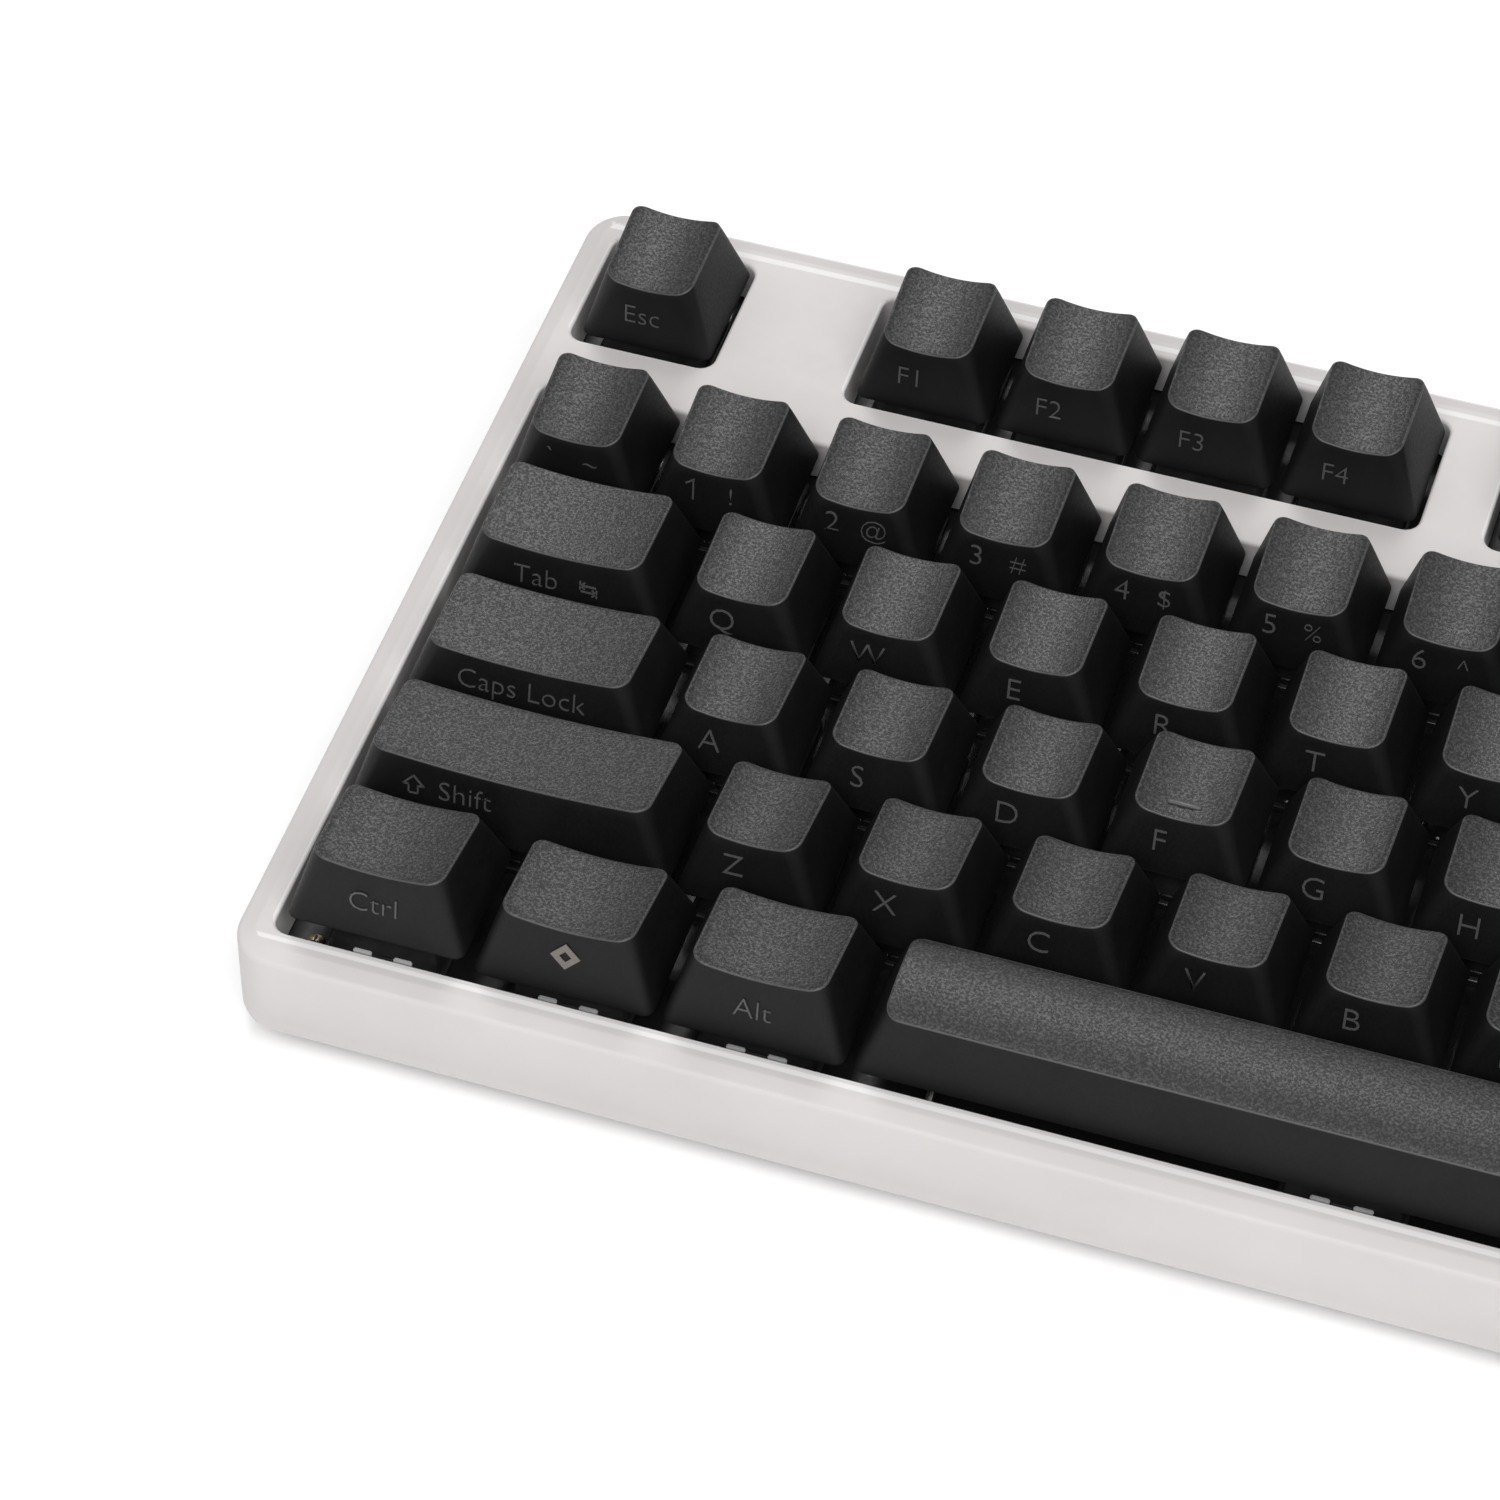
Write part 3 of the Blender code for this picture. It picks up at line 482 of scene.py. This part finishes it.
def cap_mesh(profile_name, width, homing):
    """A hollow keycap: soft skirt, drafted walls with round corners, a crisp top edge and a dish."""
    profile = PROFILES[profile_name]
    (back, back_z), (front, front_z) = profile
    half = width * PITCH / 2
    is_space = profile_name == "space"
    dish, crown = (0.0, CROWN) if is_space else (DISH, 0.0)
    height = top_height(profile, half, dish, crown)
    cuts_x = 10 if width < 3 else 28
    cuts_y = 8 if is_space else 4

    def outline(share, inset):
        """The wall's outline a share of the way up, drawn in by an inset."""
        half_back = (half - CAP_GAP / 2) * (1 - share) + (half - INSET_BACK) * share - inset
        half_front = (half - CAP_GAP / 2) * (1 - share) + (half - INSET_FRONT) * share - inset
        y_back = SKIRT_HALF * (1 - share) + back * share - inset
        y_front = -SKIRT_HALF * (1 - share) + front * share + inset
        front_radius = max(0.25, SKIRT_ROUND * (1 - share) + TOP_ROUND_FRONT * share - inset)
        back_radius = max(0.25, SKIRT_ROUND * (1 - share) + TOP_ROUND_BACK * share - inset)
        flat = rounded(-half_back, half_back, y_front, y_back, back_radius, ARC_STEPS, cuts_x, cuts_y,
                       front_radius)
        points = []
        for x, y in flat:
            forward = (y_back - y) / (y_back - y_front)
            points.append((x * (1 + (half_front / half_back - 1) * forward), y))
        return points

    shape = Shape()

    def wall(share, inset=0.0, drop=0.0):
        """A ring on the wall: its height is that share of the top's, so it follows the dish."""
        ring = []
        for (x, y), (top_x, top_y) in zip(outline(share, inset), outline(1.0, 0.0)):
            ring.append((x, y, share * height(top_x, top_y) - drop))
        return ring

    # Up the outside: the soft skirt, the drafted wall, the rounded lip and the start of the top.
    rings = [(wall(share, inset), SIDE_SLOT) for share, inset in (
        (0.0, 0.40), (0.003, 0.14), (0.014, 0.03), (0.04, 0.0), (0.3, 0.0), (0.6, 0.0), (0.85, 0.0)
    )]
    # The rounded lip is drawn in the painted highlight colour.
    rings += [(wall(1.0, inset, LIP * drop), slot) for inset, drop, slot in (
        (-0.02, 1.0, SIDE_SLOT), (0.03, 0.38, CAP_HIGHLIGHT_SLOT), (0.12, 0.08, CAP_HIGHLIGHT_SLOT), (0.22, 0.0, TOP_SLOT)
    )]
    made = [shape.ring(points) for points, _ in rings]
    for (a, b), (_, slot) in zip(zip(made, made[1:]), rings[1:]):
        shape.sleeve(a, b, slot)
    last = made[-1]
    inner = outline(1.0, 0.40)
    middle_y = (back + front) / 2
    spine = max(0.0, half - INSET_BACK - 7.0)     # a wide top closes towards a line, not to its middle
    for shrink in (1.0, 0.9, 0.76, 0.6, 0.44, 0.28, 0.12):
        ring = []
        for x, y in inner:
            hold = min(spine, max(-spine, x))
            px, py = hold + (x - hold) * shrink, middle_y + (y - middle_y) * shrink
            ring.append((px, py, height(px, py)))
        made_ring = shape.ring(ring)
        shape.sleeve(last, made_ring, TOP_SLOT)
        last = made_ring
    close_across(shape, last, cuts_x, cuts_y)
    # The hollow underneath, up to a flat ceiling.
    low_ring = made[0]
    ceiling = min(back_z, front_z) - dish - CAP_ROOF
    for share, inset, z in ((0.0, CAP_WALL, 0.0), (0.0, CAP_WALL + 0.1, 0.4),
                            (0.7, CAP_WALL, ceiling - 0.6), (0.72, CAP_WALL + 0.6, ceiling)):
        ring = shape.ring([(x, y, z) for x, y in outline(share, inset)])
        shape.sleeve(low_ring, ring, SIDE_SLOT)
        low_ring = ring
    shape.face(low_ring, SIDE_SLOT)
    slider(shape, ceiling)
    if is_space:
        for x in (-SPACE_WIRE_HALF, SPACE_WIRE_HALF):
            shape.block(x - 2.0, x + 2.0, 1.0, 5.0, -0.1, 5.5, 0.2, SIDE_SLOT)
    if homing:
        homing_bar(shape, height, front)
    return shape


def close_across(shape, ring, cuts_x, cuts_y):
    """Closes an outline from rounded() with strips that join each back point to its front point."""
    last = 4 * (ARC_STEPS + 1) + 2 * cuts_x + cuts_y - 1
    turn = 2 * (ARC_STEPS + 1) + cuts_x - 1
    for i in range(turn):
        shape.face((ring[i], ring[i + 1], ring[last - i - 1], ring[last - i]), TOP_SLOT)
    shape.face(ring[turn:last - turn + 1], TOP_SLOT)
    shape.face([*ring[last:], ring[0]], TOP_SLOT)


def slider(shape, ceiling):
    """The round mount under the cap and the switch's slider."""
    profile = ((MOUNT_RADIUS, ceiling), (MOUNT_RADIUS, ceiling - 0.3), (MOUNT_RADIUS - 0.15, 0.3),
               (MOUNT_RADIUS - 0.35, 0.1))
    shape.turned(0.0, 0.0, profile, 20, SIDE_SLOT)
    shape.block(-STEM_X, STEM_X, -STEM_Y, STEM_Y, -STEM_DROP, 0.05, 0.25, STEM_SLOT)


def homing_bar(shape, height, front):
    """The low raised bar near the front of a homing key's top."""
    y = front + HOMING_BACK
    rings = []
    for lift, grow in ((-0.3, 0.12), (0.10, 0.10), (0.20, 0.04), (0.24, -0.04)):
        half_x, half_y = HOMING_X + grow, HOMING_Y + grow
        flat = rounded(-half_x, half_x, y - half_y, y + half_y, 0.24 + grow, 4)
        rings.append([(px, py, height(px, py) + lift) for px, py in flat])
    # The bar is drawn in the painted highlight colour.
    shape.stack(rings, CAP_HIGHLIGHT_SLOT)


# ---------------------------------------------------------------- legends on the front faces
def polygons_of_text(text, size):
    """A word as flat polygons in its own plane."""
    curve = bpy.data.curves.new("legend", "FONT")
    curve.body = text
    curve.size = size
    curve.offset = -LEGEND_THIN
    curve.resolution_u = 3
    holder = bpy.data.objects.new("legend", curve)
    bpy.context.scene.collection.objects.link(holder)
    bpy.context.view_layer.update()
    data = holder.to_mesh()
    points = [tuple(v.co[:2]) for v in data.vertices]
    faces = [tuple(p.vertices) for p in data.polygons]
    holder.to_mesh_clear()
    bpy.data.objects.remove(holder)
    bpy.data.curves.remove(curve)
    return points, faces


def stroke(points):
    """A bent line as one quad for each stretch."""
    out, faces = [], []
    for (x0, y0), (x1, y1) in zip(points, points[1:]):
        length = math.hypot(x1 - x0, y1 - y0)
        dx, dy = (x1 - x0) / length * STROKE / 2, (y1 - y0) / length * STROKE / 2
        k = len(out)
        out += [(x0 - dx - dy, y0 - dy + dx), (x0 - dx + dy, y0 - dy - dx),
                (x1 + dx + dy, y1 + dy - dx), (x1 + dx - dy, y1 + dy + dx)]
        faces.append((k, k + 1, k + 2, k + 3))
    return out, faces


# Marks drawn with a pen: bent lines in mm from the mark's lower left corner.
ARROW = [(0.0, 0.9), (1.8, 0.9), (1.1, 1.6), (1.8, 0.9), (1.1, 0.2)]
ICONS = {
    "shift": [[(0.7, 0.0), (0.7, 1.2), (0.0, 1.2), (1.3, 2.6), (2.6, 1.2), (1.9, 1.2), (1.9, 0.0),
               (0.7, 0.0)]],
    "tab": [[(0.0, 1.35), (2.0, 1.35)], [(0.55, 1.8), (0.1, 1.35), (0.55, 0.9)], [(0.0, 1.85), (0.0, 0.85)],
            [(0.2, 0.45), (2.2, 0.45)], [(1.65, 0.9), (2.1, 0.45), (1.65, 0.0)], [(2.2, 0.95), (2.2, -0.05)]],
    "right": [ARROW],
    "left": [[(1.8 - x, y) for x, y in ARROW]],
    "up": [[(y, x) for x, y in ARROW]],
    "down": [[(y, 1.8 - x) for x, y in ARROW]],
    "one": [[(0.0, 2.35), (0.95, 3.05), (0.95, 0.0)]],
    "enter": [[(2.0, 1.7), (2.0, 0.6), (0.2, 0.6)], [(0.8, 1.2), (0.1, 0.6), (0.8, 0.0)]],
    "menu": [[(0.0, 0.1), (1.8, 0.1), (1.8, 1.9), (0.0, 1.9), (0.0, 0.1)], [(0.45, 1.3), (1.35, 1.3)],
             [(0.45, 0.75), (1.35, 0.75)]],
}


def gem():
    """A plain four-sided gem with a hollow middle."""
    middle_x, middle_y, half, hollow = 2.0, 1.9, 1.9, 0.42
    outer = [(0.0, -half), (half, 0.0), (0.0, half), (-half, 0.0)]
    inner = [(x * hollow, y * hollow) for x, y in outer]
    faces = [(i, (i + 1) % 4, 4 + (i + 1) % 4, 4 + i) for i in range(4)]
    return [(middle_x + x, middle_y + y) for x, y in outer + inner], faces


def icon(name):
    """A drawn mark as flat polygons."""
    if name == "gem":
        return gem()
    points, faces = [], []
    for line in ICONS[name]:
        more, quads = stroke(line)
        faces += [tuple(len(points) + k for k in quad) for quad in quads]
        points += more
    return points, faces


def glyphs(mark, size):
    """The flat polygons of a word or of a drawn mark."""
    if mark.startswith("icon:"):
        return icon(mark[5:])
    return polygons_of_text(mark, size)


def mark_places(row, half, marks):
    """Middle of each mark across the key, and how far below the top's edge it sits."""
    if marks[0] == "icon:gem":
        return [(0.3, 4.6)]
    if row == "ctrl" and half > CELL_HALF:
        return [(-0.15, 5.3)]
    if marks[0] == "icon:shift":
        return [(0.79 * -(half - 6.3), 4.1), (0.34 * -(half - 6.0), 4.2)]
    if marks[-1].startswith("icon:") and len(marks) == 2:
        return [(-2.9, 4.6), (4.2, 4.6)]
    if len(marks) == 2:
        return [(-3.1, 3.85), (2.4, 3.85)]
    if row == "f":
        return [(-0.5 if len(marks[0]) > 2 else -1.9, 5.1)]
    if row == "number" or len(marks[0]) > 1:
        return [(-0.3, 3.9)]
    return [(-1.9, 4.35)]


def add_legend(shape, row, profile_name, half, marks):
    """The printed marks of a key, let into its front face and a hair proud of it."""
    front, front_z = PROFILES[profile_name][1]
    length = math.hypot(front_z, SKIRT_HALF + front)
    up = Vector((0.0, (SKIRT_HALF + front) / length, front_z / length))
    out = Vector((0.0, -up.z, up.y))
    slot = ICON_SLOT if marks[0] == "icon:gem" else LEGEND_SLOT
    for place, (mark, (middle, below)) in enumerate(zip(marks, mark_places(row, half, marks))):
        size = WORD_SIZE if len(mark) > 1 else SYMBOL_SIZE if place else LETTER_SIZE
        flat, faces = glyphs(mark, size)
        low_x, high_x = min(x for x, _ in flat), max(x for x, _ in flat)
        shift = middle - (low_x + high_x) / 2
        tall = CAPITAL_SHARE * size
        if mark.startswith("icon:"):
            tall = max(y for _, y in flat) - min(y for _, y in flat)
        base = length - below - tall / 2

        def layer(depth):
            spots = [Vector((x + shift, -SKIRT_HALF, 0.0)) + up * (base + y) + out * depth for x, y in flat]
            return shape.ring([tuple(spot) for spot in spots])

        upper, lower = layer(LEGEND_PROUD), layer(-LEGEND_DEEP)
        edges = {}
        for face in faces:
            shape.face([upper[i] for i in face], slot)
            shape.face([lower[i] for i in reversed(face)], slot)
            edges.update(dict.fromkeys(zip(face, (*face[1:], face[0]))))
        for a, b in edges:
            if (b, a) not in edges:     # an outer edge of the mark: close the side there
                shape.face((upper[b], upper[a], lower[a], lower[b]), slot)


def build_keys():
    """Every keycap, with its legend, on its key or bank."""
    for body, name, row, start, width, marks in KEYS:
        x, y, half = cell(row, start, width)
        profile = "space" if name == "space" else ROWS[row][1]
        shape = cap_mesh(profile, width, name in ("f", "j"))
        if marks:
            add_legend(shape, row, profile, half, marks)
        data = shape.mesh("cap_" + name, (CAP_SIDE, CAP_TOP, CAP_HIGHLIGHT, STEM, LEGEND, ICON), 48.0)
        place = KEY_FRAME @ Matrix.Translation(Vector((x, y, UNSEATED.get(name, 0.0))) * MM)
        cap = put("cap_" + name, data, body, place, body)


# ---------------------------------------------------------------- top case
# Corners of the openings in key units, anticlockwise.
WELLS = [
    [(0, 5.5), (1, 5.5), (1, 6.5), (0, 6.5)],
    [(2, 5.5), (6, 5.5), (6, 6.5), (2, 6.5)],
    [(6.5, 5.5), (10.5, 5.5), (10.5, 6.5), (6.5, 6.5)],
    [(11, 5.5), (15, 5.5), (15, 6.5), (11, 6.5)],
    [(RIGHT, 5.5), (RIGHT + 3, 5.5), (RIGHT + 3, 6.5), (RIGHT, 6.5)],
    [(0, 0), (15, 0), (15, 5), (0, 5)],
    [(RIGHT, 3), (RIGHT + 3, 3), (RIGHT + 3, 5), (RIGHT, 5)],
    [(RIGHT, 0), (RIGHT + 3, 0), (RIGHT + 3, 1), (RIGHT + 2, 1), (RIGHT + 2, 2), (RIGHT + 1, 2),
     (RIGHT + 1, 1), (RIGHT, 1)],
]


def soft_polygon(corners, grow, radius, steps=5):
    """A right-angled polygon (in key units, anticlockwise), grown and with round corners, in mm."""
    outline = []
    count = len(corners)
    for i, (cx, cy) in enumerate(corners):
        px, py = corners[i - 1]
        nx, ny = corners[(i + 1) % count]
        arrive = Vector((cx - px, cy - py)).normalized()
        leave = Vector((nx - cx, ny - cy)).normalized()
        convex = arrive.x * leave.y - arrive.y * leave.x > 0
        outward = Vector((arrive.y, -arrive.x)) + Vector((leave.y, -leave.x))
        corner = Vector((cx, cy)) * PITCH + outward * grow + Vector(WELL_SHIFT)
        r = max(0.2, radius + grow - WELL_MARGIN if convex else radius - grow + WELL_MARGIN)
        start, end = corner - arrive * r, corner + leave * r
        centre = start + leave * r
        for k in range(steps + 1):
            t = math.pi / 2 * k / steps
            spot = centre + (start - centre) * math.cos(t) + (end - centre) * math.sin(t)
            outline.append((spot.x, spot.y))
    return outline


def case_outline(inset, steps=10):
    """The case's outline from above, drawn in by an inset."""
    return rounded(-SIDE + inset, GRID_WIDTH + SIDE - inset, -FRONT + inset, GRID_DEPTH + BACK - inset,
                   max(CORNER - inset, 0.8), steps)


def fill_between(shape, outer, holes):
    """Flat triangles between an outline and holes that are already rings of the shape."""
    loops = [outer, *holes]
    flat = [[Vector((shape.points[i][0], shape.points[i][1], 0.0)) for i in loop] for loop in loops]
    order = [i for loop in loops for i in loop]
    for triangle in tessellate_polygon(flat):
        shape.face([order[i] for i in triangle])


def top_case_mesh():
    """Shell with soft edges; each well has a rounded rim and a liner down to the switch plate."""
    shape = Shape()
    edge_top = RIM - RIM_FALL
    rings = [(WALL, -SKIRT + 4.0), (WALL, -SKIRT + 0.3), (WALL - 0.3, -SKIRT), (0.5, -SKIRT),
             (0.12, -SKIRT + 0.15), (0.0, -SKIRT + 0.5), (DRAFT * 0.5, -SKIRT * 0.5), (DRAFT, edge_top - EDGE)]
    quarter = [math.pi / 2 * k / 5 for k in range(1, 6)]
    rings += [(DRAFT + EDGE * (1 - math.cos(t)), edge_top - EDGE * (1 - math.sin(t))) for t in quarter]
    rings += [(CREASE - 0.12, RIM - 0.03), (CREASE, RIM), (CREASE + 0.25, RIM)]
    made = shape.stack([[(x, y, z) for x, y in case_outline(inset)] for inset, z in rings],
                       close_first=False, close_last=False)
    # Each well, from the flat top over its rim, down the liner and up behind it.
    liner_foot = PLATE_TOP + LINER_GAP
    profile = [(WELL_MARGIN + RIM_RADIUS, RIM)]
    profile += [(WELL_MARGIN + RIM_RADIUS * (1 - math.sin(t)), RIM - RIM_RADIUS * (1 - math.cos(t)))
                for t in quarter]
    profile += [(WELL_MARGIN, liner_foot), (WELL_MARGIN + WELL_WALL, liner_foot),
                (WELL_MARGIN + WELL_WALL, edge_top - WALL)]
    tops, liners = [], []
    for well in WELLS:
        circles = shape.stack(
            [[(x, y, z) for x, y in soft_polygon(well, grow, WELL_CORNER)] for grow, z in profile],
            close_first=False, close_last=False,
        )
        tops.append(circles[0])
        liners.append(circles[-1])
    fill_between(shape, made[-1], tops)
    under = shape.ring([(x, y, edge_top - WALL) for x, y in case_outline(WALL)])
    shape.sleeve(made[0], under)
    fill_between(shape, under, liners)
    return shape.mesh("top_case_shell", (WHITE,), 40.0)


# ---------------------------------------------------------------- switches, plate and board details
def switch_parts(clear, dark, x, y, post_lit_or_shaded_slot):
    """One switch over the plate: clear upper housing with its catches, a dark window and a dark base. The
    housing is in painted shade; its front posts take the given slot, the painted highlight in the front row.
    """
    top = PLATE_TOP + SWITCH_HEIGHT
    rings = []
    for half_x, half_y, z in ((7.75, 7.75, PLATE_TOP + 0.05), (7.8, 7.8, PLATE_TOP + 0.2),
                              (7.8, 7.8, PLATE_TOP + 0.95), (7.6, 7.6, PLATE_TOP + 1.1),
                              (7.25, 7.25, PLATE_TOP + 1.15), (6.9, 6.6, PLATE_TOP + 3.3),
                              (5.6, 5.2, top - 0.35), (5.3, 4.9, top)):
        outline = rounded(x - half_x, x + half_x, y - half_y, y + half_y, 0.6, 2)
        rings.append([(px, py, z) for px, py in outline])
    opening = rounded(x - PIT_HALF, x + PIT_HALF, y - PIT_HALF, y + PIT_HALF, 0.4, 2)
    rings.append([(px, py, top) for px, py in opening])
    rings.append([(px, py, PLATE_TOP + 0.1) for px, py in opening])
    clear.stack(rings, close_first=False)
    # The window for a lamp at the front between two clear posts, and two side catches.
    front = y - 6.95
    dark.block(x - 1.3, x + 1.3, front - 0.36, front + 1.2, PLATE_TOP + 1.1, PLATE_TOP + 2.2, 0.12)
    for side in (-1, 1):
        clear.block(x + side * 2.6 - 1.2, x + side * 2.6 + 1.2, front - 0.4, front + 1.4,
                    PLATE_TOP + 1.05, PLATE_TOP + 2.35, 0.2, post_lit_or_shaded_slot)
        clear.block(x + side * 5.2 - 0.7, x + side * 5.2 + 0.7, front - 0.3, front + 1.6,
                    PLATE_TOP + 1.05, PLATE_TOP + 1.8, 0.2)
        dark.block(x + side * 6.85 - 0.5, x + side * 6.85 + 0.5, y - 1.6, y + 1.6,
                   PLATE_TOP + 1.0, PLATE_TOP + 2.8, 0.15)
    # The dark lower housing under the plate.
    dark.block(x - 6.6, x + 6.6, y - 6.6, y + 6.6, BOARD_TOP + 0.05, PLATE_TOP + 0.05, 0.2)


def stabiliser_posts(dark, clear, x, y, spread):
    """Housings of a wide key's stabiliser, one on each side of the switch."""
    for side in (-spread, spread):
        dark.block(x + side - 3.2, x + side + 3.2, y - 5.6, y + 6.6, PLATE_TOP + 0.05, PLATE_TOP + 4.6, 0.4)
        clear.block(x + side - 1.9, x + side + 1.9, y - 2.0, y + 4.4, PLATE_TOP + 4.4, PLATE_TOP + 5.4, 0.3)


def screw_head(shape, x, y, z, radius, slot=0, recess_shade_slot=1):
    """A domed screw head with a dark cross on it, pointing up: the cross is painted shade for its recess."""
    dome = ((radius * 0.98, z), (radius, z + 0.25), (radius * 0.86, z + 0.62), (radius * 0.5, z + 0.82),
            (radius * 0.05, z + 0.86))
    shape.turned(x, y, dome, 22, slot)
    for wide, deep in ((radius * 0.62, 0.16), (0.16, radius * 0.62)):
        shape.block(x - wide, x + wide, y - deep, y + deep, z + 0.5, z + 0.90, 0.05, recess_shade_slot)


def build_inside():
    """Switches, board and plate screws. Posts under the front row are painted bright, a painted highlight of
    the light over the rim; all other housing faces are painted shade.
    """
    clear, dark = Shape(), Shape()
    for _, name, row, start, width, _ in KEYS:
        x, y, _ = cell(row, start, width)
        # Painted highlight on the posts of the front row, painted shade everywhere else.
        switch_parts(clear, dark, x, y, LIT_SLOT if row == "ctrl" else SHADE_SLOT)
        if 2.0 <= width < 3.0:
            stabiliser_posts(dark, clear, x, y, KEY_STABILISER_HALF)
    board = Shape()
    inset = WALL + 0.3 + WALL + 0.6     # inside both halves of the case, with their gaps
    foot = BOARD_TOP - BOARD_THICKNESS
    rings = []
    for extra, z in ((0.1, foot), (0.0, foot + 0.1), (0.0, BOARD_TOP - 0.1), (0.1, BOARD_TOP)):
        rings.append([(x, y, z) for x, y in case_outline(inset + extra, 4)])
    board.stack(rings)
    for name, shape, slots in (
        ("circuit_board", board, (BOARD,)),
        ("switch_housings", clear, (SHADED_HOUSING, LIT_POSTS)),
        ("switch_bases", dark, (SWITCH_DARK,)),
    ):
        put(name, shape.mesh(name, slots), "case", KEY_FRAME, "pcb_with_switches")
    screws = Shape()
    for x_unit, y_unit in ((0.14, 0.16), (3.75, 0.06), (10.0, 0.06), (14.95, 0.1), (0.02, 3.0),
                           (15.0, 3.0), (4.98, 2.0), (9.98, 2.0), (17.25, 3.0), (2.0, 6.0)):
        screw_head(screws, x_unit * PITCH, y_unit * PITCH, PLATE_TOP, SCREW_RADIUS)
    # The dark second material paints the shade in the screws' crosses.
    plate_screws = put("plate_screws", screws.mesh("plate_screws", (BRASS, SWITCH_DARK)), "case")


def build_case():
    """The upper case and the three small lenses of its indicator lights."""
    top = put("top_case_shell", top_case_mesh(), "case", KEY_FRAME, "top_case")
    dome = ((LENS_RADIUS, RIM - 0.3), (LENS_RADIUS, RIM + 0.02), (1.1, RIM + 0.14), (0.6, RIM + 0.2),
            (0.05, RIM + 0.22))
    lenses = Shape()
    for x_unit in (RIGHT + 1.0, RIGHT + 1.5, RIGHT + 2.0):
        lenses.turned(x_unit * PITCH, 2.55 * PITCH, dome, 24)
    put("indicator_lenses", lenses.mesh("indicator_lenses", (LENS,)), "case")


def soften(node, material, width, segments=2, angle=30.0):
    """A better finish for a CAD node that stays: its material, rounded edges and smooth shading."""
    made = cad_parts[node]
    made.data.materials.clear()
    made.data.materials.append(material)
    if width:
        bevel = made.modifiers.new("soft_edges", "BEVEL")
        bevel.width = width * MM
        bevel.segments = segments
        bevel.limit_method = "ANGLE"
        bevel.angle_limit = math.radians(angle)
        flat = made.modifiers.new("flat_faces_stay_flat", "WEIGHTED_NORMAL")
        flat.weight = 100
        flat.keep_sharp = True
    made.data.shade_smooth()
    made.data.set_sharp_from_angle(angle=math.radians(28.0))


def build_cad_finish():
    """Materials and soft edges for the CAD nodes that stay."""
    soften("switch_plate", PLATE, 0.0)
    soften("bottom_case", WHITE_BASE, 0.3)
    for foot in ("flip_foot_left", "flip_foot_right"):
        soften(foot, WHITE_BASE, 0.25)
    for steel in ("usb_socket", "space_stabiliser_wire"):
        soften(steel, STEEL, 0.0)
    for pad in ("front_pad_left", "front_pad_right", "rear_pad_left", "rear_pad_right"):
        soften(pad, RUBBER, 0.0)


# ---------------------------------------------------------------- floor, light and camera
def build_studio():
    """A pale floor, an even white surround, a small softbox behind and a broad one in front."""
    floor_shape = Shape()
    floor_shape.stack([[(x, y, z) for x, y in rounded(-3000, 3000, -3000, 3000, 600, 8)]
                       for z in (-12.0, -0.01)])
    floor_material = speckled_material("pale_floor", (0.94, 0.94, 0.94), (0.97, 0.97, 0.97), 30.0, (0.75, 0.85),
                                       bump=0.02)
    floor = bpy.data.objects.new("floor", floor_shape.mesh("floor", (floor_material,)))
    bpy.context.scene.collection.objects.link(floor)
    world = bpy.data.worlds.new("studio")
    bpy.context.scene.world = world
    world.use_nodes = True
    background = world.node_tree.nodes["Background"]
    background.inputs["Color"].default_value = (1.0, 1.0, 1.0, 1.0)
    background.inputs["Strength"].default_value = 0.40
    for name, place, aim, size, power in (
        ("back_softbox", (-0.36, 0.96, 1.4), (-0.1, 0.0, 0.0), (0.55, 0.6), 8.5),
        ("front_softbox", (0.3, -1.0, 1.4), (0.0, 0.0, 0.0), (2.0, 1.2), 32.0),
    ):
        light = bpy.data.lights.new(name, "AREA")
        light.shape = "RECTANGLE"
        light.size, light.size_y = size
        light.energy = power
        lamp = bpy.data.objects.new(name, light)
        lamp.location = place
        lamp.rotation_euler = (Vector(aim) - Vector(place)).to_track_quat("-Z", "Y").to_euler()
        bpy.context.scene.collection.objects.link(lamp)
    bpy.context.scene.view_settings.view_transform = "Standard"


def build_camera():
    """The camera that the keyboard's corner is seen from, in metres and degrees."""
    lens = bpy.data.cameras.new("camera")
    lens.lens = 124.9
    lens.sensor_width = 36.0
    lens.clip_start, lens.clip_end = 0.01, 20.0
    camera = bpy.data.objects.new("camera", lens)
    camera.location = (0.01179, -0.44641, 0.48027)
    camera.rotation_euler = [math.radians(a) for a in (44.464, -0.404, 18.617)]
    bpy.context.scene.collection.objects.link(camera)
    bpy.context.scene.camera = camera


build_camera()
build_case()
build_inside()
build_keys()
build_cad_finish()
build_studio()
